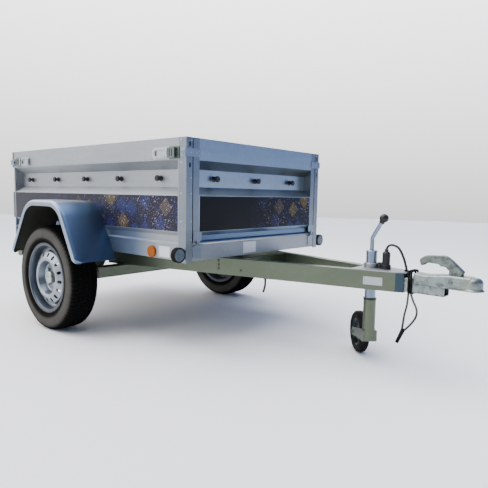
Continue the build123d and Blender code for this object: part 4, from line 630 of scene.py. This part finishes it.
def turned(made, base, normal, outline, sides):
    """Turn (radius, height) points about a normal through base; a radius of 0 closes the shape on the axis."""
    across, along = axes(normal)
    rings = []
    for radius, height in outline:
        if radius == 0:
            rings.append([made.verts.new(base + normal * height)] * sides)
            continue
        ring = []
        for i in range(sides):
            angle = 2 * pi * i / sides
            spoke = across * cos(angle) + along * sin(angle)
            ring.append(made.verts.new(base + normal * height + spoke * radius))
        rings.append(ring)
    for low, high in zip(rings, rings[1:]):
        for i in range(sides):
            j = (i + 1) % sides
            corners = [low[i], low[j], high[j], high[i]]
            made.faces.new(list(dict.fromkeys(corners)))


def rivet(made, at, normal, size=RIVET):
    """Domed head."""
    radius, height = size
    outline = [(radius, 0), (radius * 0.92, height * 0.5), (radius * 0.6, height * 0.88), (0, height)]
    turned(made, Vector(at), Vector(normal), outline, 10)


def hex_bolt(made, at, normal, size):
    """Washer and chamfered hexagon head."""
    across, height = size
    corner = across / 2 / cos(radians(30))
    at = Vector(at)
    normal = Vector(normal).normalized()
    washer = [(across * 0.62, 0), (across * 0.62, WASHER * 0.75), (across * 0.58, WASHER), (0, WASHER)]
    turned(made, at, normal, washer, 20)
    head = [(corner, WASHER), (corner, height - 0.0015), (corner * 0.88, height), (0, height)]
    turned(made, at, normal, head, 6)


def slab(made, low, high, bevel):
    """A block between two corners, its edges rounded off by bevel."""
    box = bmesh.ops.create_cube(made, size=1.0)
    middle = [(a + b) / 2 for a, b in zip(low, high)]
    size = [abs(b - a) for a, b in zip(low, high)]
    for vertex in box["verts"]:
        vertex.co = Vector([m + part * whole for m, part, whole in zip(middle, vertex.co, size)])
    edges = list({edge for vertex in box["verts"] for edge in vertex.link_edges})
    bmesh.ops.bevel(made, geom=edges, offset=bevel, segments=2, affect="EDGES")


# ---- printed bands and blank plates --------------------------------------------------------------------------


def band_print(name, along, dense_from, dense_to, dark, sheen):
    """Dark film printed with blue and yellow diamonds and dots, denser towards one end of the band."""
    s = Shader(name)
    spread = s.node("ShaderNodeSeparateXYZ", {"Vector": s.place})
    run = spread.outputs[along]
    dense = s.remap(run, dense_from, dense_to, 0, 1)
    flat = s.node("ShaderNodeCombineXYZ", {"X": run, "Y": spread.outputs[2], "Z": 0.0}).outputs[0]
    large = s.node(
        "ShaderNodeTexVoronoi",
        {"Vector": flat, "Scale": MOTIF_SCALE, "Randomness": 0.7},
        distance="MANHATTAN",
        voronoi_dimensions="2D",
    )
    shade = s.node("ShaderNodeSeparateColor", {"Color": large.outputs["Color"]})
    rings = s.node("ShaderNodeMath", {0: s.maths("MULTIPLY", large.outputs["Distance"], 10.0)}, operation="FRACT")
    ring = s.remap(rings.outputs[0], 0.42, 0.55, 0, 1)
    inside = s.remap(large.outputs["Distance"], 0.46, 0.43, 0, 1)
    small = s.node("ShaderNodeTexVoronoi", {"Vector": s.place, "Scale": 62.0}, distance="MANHATTAN")
    dots = s.remap(small.outputs["Distance"], 0.34, 0.26, 0, 1)
    fine = s.node("ShaderNodeTexVoronoi", {"Vector": s.place, "Scale": 150.0}, distance="CHEBYCHEV")
    grit = s.remap(fine.outputs["Distance"], 0.22, 0.16, 0, 1)
    gold_or_blue = s.remap(shade.outputs[0], 0.54, 0.58, 0, 1)
    motif = s.mix(gold_or_blue, (0.05, 0.09, 0.42), (0.55, 0.38, 0.05))
    pale = s.mix(s.remap(shade.outputs[1], 0.3, 0.8, 0, 1), (0.10, 0.12, 0.42), (0.42, 0.36, 0.46))
    strength = s.maths("MULTIPLY", s.maths("MULTIPLY", ring, inside), s.remap(dots, 0, 1, 0.35, 1.0))
    base = s.mix(s.maths("MULTIPLY", s.maths("MULTIPLY", dots, dense), 0.5), dark, pale)
    base = s.mix(s.maths("MULTIPLY", s.maths("MULTIPLY", grit, dense), 0.45), base, pale)
    base = s.mix(s.maths("MULTIPLY", s.maths("MULTIPLY", strength, dense), 0.65), base, motif)
    haze = s.noise(7.0, 3.0)
    return s.surface(
        Base_Color=base,
        Roughness=s.remap(haze, 0.3, 0.7, 0.28, 0.36),
        Specular_IOR_Level=sheen,
        Normal=s.bump(s.noise(5.0, 2.0), 0.05, 0.01),
    )


def side_band(name, side, finish):
    """Band on a side panel; side is 1 on the right."""
    made = bmesh.new()
    face = side * SIDE_Y
    low = (PANEL_LOW.x + BAND_MARGIN, face, RAIL_TOP + BAND_LOW)
    high = (PANEL_HIGH.x - BAND_MARGIN, face + side * -BAND_THICK, RAIL_TOP + BAND_HIGH)
    slab(made, low, high, BAND_BEVEL)
    piece(name, made, finish, "chassis")


def gate_band(name, face_x, outward, finish, body):
    """Band on a gate's outer face."""
    made = bmesh.new()
    low = (face_x, GATE_LOW.y + BAND_MARGIN, RAIL_TOP + BAND_LOW)
    high = (face_x + outward * BAND_THICK, GATE_HIGH.y - BAND_MARGIN, RAIL_TOP + BAND_HIGH)
    slab(made, low, high, BAND_BEVEL)
    piece(name, made, finish, body)


def bands():
    """The printed bands that both sides and both gates carry."""
    purple = (0.011, 0.0095, 0.019)
    black = (0.004, 0.004, 0.006)
    side = band_print("side_print", 0, REAR + 0.25, FRONT - 0.45, purple, 0.2)
    front = band_print("front_print", 1, -0.10, 0.20, black, 0.12)
    side_band("side_band_right", 1, side)
    side_band("side_band_left", -1, side)
    gate_band("front_gate_band", GATE_HIGH.x, 1, front, "front_gate")
    gate_band("rear_gate_band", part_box("rear_gate_panel")[0].x, -1, front, "rear_gate")


def label_stock(name, shade):
    """Blank printed metal: matt, slightly dusty."""
    s = Shader(name)
    dust = s.noise(35.0, 4.0, 0.6)
    base = s.mix(s.remap(dust, 0.4, 0.75, 0, 0.35), shade, dimmed(shade, 0.75))
    return s.surface(Base_Color=base, Metallic=0.25, Roughness=s.remap(dust, 0.3, 0.7, 0.35, 0.5))


def arm_plate(made, middle, size):
    """Riveted plate on the near arm's face, its middle raised."""
    out = Vector((ARM_DIRECTION.y, -ARM_DIRECTION.x, 0))
    signs = ((-1, -1), (1, -1), (1, 1), (-1, 1))

    def at(sign, inset, depth):
        """Point near one of the plate's corners."""
        run = ARM_DIRECTION * sign[0] * (size[0] / 2 - inset[0])
        rise = Vector((0, 0, sign[1] * (size[1] / 2 - inset[1])))
        return middle + run + rise + out * depth

    for inset, low, high in ((0, 0, ARM_PLATE_THICK), (ARM_PLATE_RIM, ARM_PLATE_THICK, ARM_PLATE_FACE)):
        corners = [made.verts.new(at(sign, (inset, inset), depth)) for depth in (low, high) for sign in signs]
        for face in ((4, 5, 6, 7), (0, 1, 5, 4), (1, 2, 6, 5), (2, 3, 7, 6), (3, 0, 4, 7)):
            made.faces.new([corners[i] for i in face])
    for sign in signs:
        rivet(made, at(sign, ARM_PLATE_INSET, ARM_PLATE_FACE), out, PLATE_RIVET)


def rail_label(name, corners, finish):
    """Blank label between two corners, measured along from the box front."""
    made = bmesh.new()
    low, high = [(FRONT + x, y, z) for x, y, z in corners]
    slab(made, low, high, LABEL_BEVEL)
    piece(name, made, finish, "chassis")


def blank_plates():
    """Maker's and rating plates, all blank: on the side rail, the front rail and the drawbar."""
    pale = label_stock("pale_label", (0.66, 0.66, 0.66))
    rail_label("rail_label", RAIL_LABEL, pale)
    rail_label("front_rail_label", FRONT_LABEL, pale)
    made = bmesh.new()
    arm_plate(made, ARM_PLATE_MIDDLE, ARM_PLATE_SIZE)
    piece("arm_plate", made, label_stock("silver_label", (0.40, 0.42, 0.44)), "chassis")


# ---- fastenings ----------------------------------------------------------------------------------------------


def post_rivets():
    """Blind rivets up both flanges of each front post."""
    made = bmesh.new()
    for side in (-1, 1):
        for height in POST_RIVETS:
            rivet(made, (FRONT - POST_RIVETS_BACK, side * -SIDE_Y, height), (0, side, 0))
        for height in FLANGE_RIVETS:
            rivet(made, (FRONT, side * FLANGE_RIVETS_ACROSS, height), (1, 0, 0), SMALL_RIVET)
    piece("post_rivets", made, FINISH["zinc_bright"], "chassis")


def arm_bolts():
    """Bolts through the arms' sides: three near the box front, one farther ahead."""
    made = bmesh.new()
    for x, y, z in ARM_BOLTS:
        for side in (1, -1):
            hex_bolt(made, (x, side * y, z), (ARM_DIRECTION.y, -side * ARM_DIRECTION.x, 0), ARM_BOLT)
    piece("arm_bolts", made, FINISH["steel"], "chassis")


def sill_screws():
    """Small screws along the foot of both side panels."""
    made = bmesh.new()
    for side in (-1, 1):
        for x in SILL_SCREWS:
            rivet(made, (FRONT + x, side * -SIDE_Y, RAIL_TOP + SILL_SCREWS_RISE), (0, side, 0), SMALL_RIVET)
    piece("sill_screws", made, FINISH["zinc_bright"], "chassis")


def strap_rivets():
    """Rivets through the front straps into the gate's ends."""
    made = bmesh.new()
    for side in (-1, 1):
        for across, rise in STRAP_RIVETS:
            rivet(made, (FRONT + STRAP_THICK, side * across, STRAP_HEIGHT + rise), (1, 0, 0), SMALL_RIVET)
        for across in GATE_RIVETS:
            rivet(made, (FRONT, side * across, STRAP_HEIGHT), (1, 0, 0), SMALL_RIVET)
    piece("strap_rivets", made, FINISH["zinc_bright"], "front_gate")


# ---- cords ---------------------------------------------------------------------------------------------------


def cord_sheath(name, shade, scuff_and_highlight):
    """Flexible black sheath with a lay of pale scuffs, which on the paler cable are partly painted highlights."""
    s = Shader(name)
    scuffs = s.noise(55.0, 5.0, 0.65, (1, 1, 0.35))
    fine = s.noise(340.0, 2.0)
    base = s.mix(s.remap(scuffs, 0.52, 0.72, 0, 0.7), shade, scuff_and_highlight)
    return s.surface(
        Base_Color=base,
        Roughness=s.remap(scuffs, 0.3, 0.7, 0.38, 0.6),
        Normal=s.bump(fine, 0.15, 0.001),
    )


def free_cord(name, route, radius, finish, replaced, leaves=0):
    """A smooth cord along its route's NURBS spline, in place of its solid; leaves is where it leaves the object,
    and is not used.
    """
    curve = bpy.data.curves.new(name, "CURVE")
    curve.dimensions = "3D"
    curve.resolution_u = 16
    curve.bevel_depth = radius
    curve.bevel_resolution = 6
    curve.use_fill_caps = True
    spline = curve.splines.new("NURBS")
    spline.points.add(len(route) - 1)
    for point, (x, y, z) in zip(spline.points, route):
        point.co = (FRONT + x, y, z, 1)
    spline.order_u = 3
    spline.use_endpoint_u = True
    curve.materials.append(finish)
    made = bpy.data.objects.new(name, curve)
    bpy.context.scene.collection.objects.link(made)
    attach(made, "chassis")
    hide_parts(replaced)
    x, y, z = route[leaves]


def cords():
    """The plug's lead, both strands of the safety cable and the loom's tail."""
    black = cord_sheath("lead_sheath", (0.007, 0.007, 0.008), (0.02, 0.02, 0.022))
    # the cable's pale streaks are partly painted highlights along its twisted strands
    wire = cord_sheath("cable_sheath", (0.008, 0.008, 0.008), (0.09, 0.095, 0.095))
    free_cord("plug_lead_cord", LEAD_ROUTE, LEAD_RADIUS, black, "plug_lead", -1)
    free_cord("safety_cable_left_cord", CABLE_LEFT_ROUTE, CABLE_RADIUS, wire, "safety_cable_left")
    free_cord("safety_cable_right_cord", CABLE_RIGHT_ROUTE, CABLE_RADIUS, wire, "safety_cable_right")
    free_cord("loom_tail_cord", TAIL_ROUTE, TAIL_RADIUS, black, "loom_tail")


# ---- tyres ---------------------------------------------------------------------------------------------------


def tread_section():
    """(y, radius, kind) across a tyre, outward side to inner; kind is "side", "rib", "shoulder" or "groove"."""
    right = [(TYRE_HALF - inside, radius, kind) for inside, radius, kind in SIDEWALL]
    tread = []
    stations = [SHOULDER]
    for groove in sorted(GROOVES, reverse=True):
        stations += [groove + GROOVE_HALF, groove - GROOVE_HALF]
    stations.append(-SHOULDER)
    for high, low in zip(stations[::2], stations[1::2]):
        kind = "shoulder" if max(abs(high), abs(low)) > SHOULDER_BLOCK else "rib"
        for share in (0, 0.33, 0.67, 1):
            y = high + (low - high) * share
            tread.append((y, TYRE_CROWN - CROWN_DROP * (abs(y) / SHOULDER) ** CROWN_POWER, kind))
        if low > -SHOULDER:
            bottom = TYRE_CROWN - TREAD_DEPTH - GROOVE_DROP * (abs(low) / SHOULDER) ** 2
            tread.append((low - GROOVE_SLOPE, bottom, "groove"))
            tread.append((low - 2 * GROOVE_HALF + GROOVE_SLOPE, bottom, "groove"))
    left = [(-y, radius, kind) for y, radius, kind in reversed(right)]
    return right + tread[1:-1] + left


def road_tyre(name, node, body, finish):
    """Road tyre with four grooves round it, cut shoulder blocks and slanted sipes in its ribs."""
    low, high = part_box(node)
    centre = (low + high) / 2
    section = tread_section()
    made = bmesh.new()
    pitch = 2 * pi / TREAD_PITCHES
    cut = SIPE_WIDTH / SIPE_RADIUS
    rings = []
    for i in range(TREAD_PITCHES):
        for step, sunk in ((0.0, False), (cut * 0.2, True), (cut * 1.2, True), (cut * 1.4, False)):
            ring = []
            for y, radius, kind in section:
                across = y / SHOULDER if kind in ("rib", "groove") else copysign(1, y)
                angle = i * pitch + step + SIPE_SLANT * pitch * across
                depth = 0.0
                if sunk and kind == "rib":
                    depth = TREAD_DEPTH * SIPE_SHARE
                if sunk and kind == "shoulder":
                    depth = TREAD_DEPTH * min(1.0, (radius - CUT_FROM) / CUT_FADE)
                reach = radius - depth
                ring.append(made.verts.new(centre + Vector((reach * cos(angle), y, reach * sin(angle)))))
            rings.append(ring)
    for one, two in zip(rings, rings[1:] + rings[:1]):
        for j in range(len(section) - 1):
            made.faces.new((one[j], one[j + 1], two[j + 1], two[j]))
    tyre = piece(name, made, finish, body, 40)
    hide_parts(node)


def tyres():
    """Both road tyres, in place of their plain solids."""
    road_tyre("road_tyre_right", "tyre_right", "wheel_right", FINISH["tyre"])
    road_tyre("road_tyre_left", "tyre_left", "wheel_left", FINISH["tyre"])


# ---- mudguards -----------------------------------------------------------------------------------------------


def bent_line(corners, radius, steps):
    """(point, tangent) pairs in x and z along straight runs joined by right-hand arcs."""
    corners = [Vector(corner) for corner in corners]
    line = []
    start = corners[0]
    for before, corner, after in zip(corners, corners[1:], corners[2:]):
        run_in = (corner - before).normalized()
        run_out = (after - corner).normalized()
        turn = run_in.angle(run_out)
        cut = radius * tan(turn / 2)
        for share in RUN_IN_SHARES:
            line.append((start.lerp(corner - run_in * cut, share), run_in))
        side = Vector((run_in.y, -run_in.x))
        centre = corner - run_in * cut + side * radius
        for i in range(1, steps):
            angle = turn * i / steps
            direction = (run_in * cos(angle) + side * sin(angle)).normalized()
            line.append((centre - side * radius * cos(angle) + run_in * radius * sin(angle), direction))
        start = corner + run_out * cut
    for share in RUN_OUT_SHARES:
        line.append((start.lerp(corners[-1], share), run_out))
    return line


def guard_section(width, lip, sheet, bend):
    """(out from the box, down from the skin) points round the guard's section: skin, rolled edge and lip."""
    flat = width - bend
    outer = [(0, 0), (GUARD_EDGE, 0), (0.5 * width, -GUARD_CROWN), (flat - 0.008, 0), (flat, 0)]
    inner = [(flat, sheet), (0.5 * width, sheet - GUARD_CROWN), (GUARD_EDGE, sheet), (0, sheet)]
    for i in range(1, 7):
        angle = radians(15 * i)
        outer.append((flat + bend * sin(angle), bend - bend * cos(angle)))
    drop = max(lip, bend + 2 * GUARD_SOFT)
    outer += [(width, drop - GUARD_SOFT), (width - GUARD_SOFT, drop)]
    inner_edge = [(width - sheet + GUARD_SOFT / 2, drop), (width - sheet, drop - GUARD_SOFT)]
    for i in range(5, 0, -1):
        angle = radians(15 * i)
        small = bend - sheet
        inner_edge.append((flat + small * sin(angle), bend - small * cos(angle)))
    return outer + inner_edge + inner


def mudguard(name, node, side):
    """Pressed guard: a slightly crowned skin, its outer edge rolled over into a lip that fades at both ends."""
    low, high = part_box(node)
    middle = (low.x + high.x) / 2
    half = (high.x - low.x) / 2
    crown = high.z
    corners = [
        (middle - half, low.z + GUARD_FOOT_RISE),
        (middle + GUARD_TOP_REAR, crown),
        (middle + GUARD_TOP_FRONT, crown),
        (middle + half, low.z + GUARD_FOOT_RISE),
    ]
    width = high.y - low.y
    inner = -side * SIDE_Y
    line = bent_line(corners, GUARD_BEND, 12)
    reach = [0.0]
    for (one, _), (two, _) in zip(line, line[1:]):
        reach.append(reach[-1] + (two - one).length)
    made = bmesh.new()
    rings = []
    for (point, along), run in zip(line, reach):
        from_end = min(run, reach[-1] - run)
        share = min(1.0, from_end / GUARD_LIP_FADE)
        lip = GUARD_LIP_END + (GUARD_LIP - GUARD_LIP_END) * sqrt(1 - (1 - share) ** 2)
        down = Vector((along.y, -along.x))
        rest = max(0.0, GUARD_CORNER - from_end)
        narrowed = width - GUARD_CORNER + sqrt(GUARD_CORNER**2 - rest**2)
        ring = []
        for out, sunk in guard_section(narrowed, lip, GUARD_SHEET, GUARD_ROLL):
            place = point + down * sunk
            ring.append(made.verts.new((place.x, inner + side * out, place.y)))
        rings.append(ring)
    outside = len(rings[0]) // 2 + 1
    for one, two in zip(rings, rings[1:]):
        for i in range(len(one)):
            j = (i + 1) % len(one)
            made.faces.new((one[i], one[j], two[j], two[i])).material_index = int(outside <= i < len(one) - 1)
    made.faces.new(rings[0])
    made.faces.new(reversed(rings[-1]))
    bmesh.ops.recalc_face_normals(made, faces=made.faces)
    guard = piece(name, made, FINISH["guard_zinc"], "chassis", 40)
    guard.data.materials.append(FINISH["underseal"])
    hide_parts(node)


def mudguards():
    """Both pressed mudguards, in place of their plain solids."""
    mudguard("pressed_mudguard_right", "mudguard_right", -1)
    mudguard("pressed_mudguard_left", "mudguard_left", 1)


# ---- studio --------------------------------------------------------------------------------------------------


def camera():
    """The photo's camera, as fitted to the trailer."""
    data = bpy.data.cameras.new("camera")
    data.sensor_width = SENSOR
    data.lens = CAMERA_LENS
    made = bpy.data.objects.new("camera", data)
    bpy.context.scene.collection.objects.link(made)
    bpy.context.scene.camera = made
    ahead = Vector((-sin(CAMERA_YAW) * cos(CAMERA_PITCH), cos(CAMERA_YAW) * cos(CAMERA_PITCH), -sin(CAMERA_PITCH)))
    level = ahead.cross(Vector((0, 0, 1))).normalized()
    upright = level.cross(ahead)
    right = level * cos(CAMERA_ROLL) + upright * sin(CAMERA_ROLL)
    up = upright * cos(CAMERA_ROLL) - level * sin(CAMERA_ROLL)
    made.matrix_world = Matrix((right, up, -ahead)).transposed().to_4x4()
    made.location = CAMERA_PLACE


def sky():
    """Soft surroundings by direction: a white backdrop, haze to the near side and blue ahead."""
    world = bpy.data.worlds.new("sky")
    bpy.context.scene.world = world
    s = Nodes(world, "ShaderNodeOutputWorld")
    direction = s.node("ShaderNodeTexCoord").outputs["Generated"]
    rise = s.node("ShaderNodeSeparateXYZ", {"Vector": direction}).outputs[2]
    level = s.node("ShaderNodeVectorMath", {0: direction, 1: (1, 1, 0)}, operation="MULTIPLY").outputs[0]
    level = s.node("ShaderNodeVectorMath", {0: level}, operation="NORMALIZE").outputs[0]

    def sector(azimuth, outer, inner):
        """1 within inner degrees of a bearing, 0 beyond outer."""
        bearing = (cos(radians(azimuth)), sin(radians(azimuth)), 0)
        return s.remap(s.dot(level, bearing), cos(radians(outer)), cos(radians(inner)), 0, 1)

    ahead = s.mix(s.remap(rise, 0.0, 0.35, 0, 1), SKY_AHEAD_LOW, SKY_AHEAD_HIGH)
    near = s.mix(s.remap(rise, 0.0, 0.4, 0, 1), SKY_NEAR_LOW, SKY_NEAR_HIGH)
    shade = s.mix(sector(-155, 75, 40), SKY_CAMERA, near)
    shade = s.mix(sector(60, 80, 35), shade, ahead)
    low = s.remap(rise, 0.42, 0.58, 1, 0)
    backdrop = s.mix(s.remap(rise, 0.0, 0.3, 0, 1), HORIZON, BACKDROP)
    shade = s.mix(s.maths("MULTIPLY", sector(135, 50, 36), low), shade, backdrop)
    background = s.node("ShaderNodeBackground", {"Color": shade, "Strength": 1.0})
    s.feed(s.output.inputs[0], background.outputs[0])


def softbox():
    """One large soft light straight above."""
    size, height, power = SOFTBOX
    data = bpy.data.lights.new("softbox", "AREA")
    data.shape = "SQUARE"
    data.size = size
    data.energy = power
    made = bpy.data.objects.new("softbox", data)
    made.location = (0, 0, height)
    bpy.context.scene.collection.objects.link(made)


def floor():
    """Large pale floor with a faint cloudy tone."""
    mesh = bpy.data.meshes.new("studio_floor")
    made = bmesh.new()
    bmesh.ops.create_grid(made, x_segments=8, y_segments=8, size=FLOOR_HALF)
    made.to_mesh(mesh)
    made.free()
    plane = bpy.data.objects.new("studio_floor", mesh)
    bpy.context.scene.collection.objects.link(plane)
    s = Shader("studio_floor")
    tone = s.mix(s.noise(0.8, 2.0), (0.92, 0.92, 0.92), (0.95, 0.95, 0.95))
    mesh.materials.append(s.surface(Base_Color=tone, Roughness=0.9, Specular_IOR_Level=0.1))


def wall():
    """Plain pale wall round the floor, glowing up from the floor's tone; only the camera's rays meet it."""
    mesh = bpy.data.meshes.new("studio_wall")
    made = bmesh.new()
    rows = []
    for height in (0, WALL_HEIGHT):
        row = []
        for i in range(WALL_SIDES):
            angle = 2 * pi * i / WALL_SIDES
            row.append(made.verts.new((WALL_RADIUS * cos(angle), WALL_RADIUS * sin(angle), height)))
        rows.append(row)
    for i in range(WALL_SIDES):
        j = (i + 1) % WALL_SIDES
        made.faces.new((rows[0][i], rows[0][j], rows[1][j], rows[1][i]))
    made.to_mesh(mesh)
    made.free()
    ring = bpy.data.objects.new("studio_wall", mesh)
    bpy.context.scene.collection.objects.link(ring)
    for rays in ("diffuse", "glossy", "transmission", "volume_scatter", "shadow"):
        setattr(ring, "visible_" + rays, False)
    s = Shader("studio_wall")
    rise = s.node("ShaderNodeSeparateXYZ", {"Vector": s.place}).outputs[2]
    tone = s.mix(s.remap(rise, 0, WALL_HEIGHT, 0, 1), WALL_LOW, WALL_HIGH)
    glow = s.node("ShaderNodeEmission", {"Color": tone, "Strength": 1.0})
    s.tree.links.new(glow.outputs[0], s.output.inputs[0])
    mesh.materials.append(s.material)


# ---- scene ---------------------------------------------------------------------------------------------------


camera()
cords()
sky()
softbox()
floor()
wall()
FINISH = dress_cad_nodes()
bands()
blank_plates()
post_rivets()
sill_screws()
arm_bolts()
strap_rivets()
tyres()
mudguards()
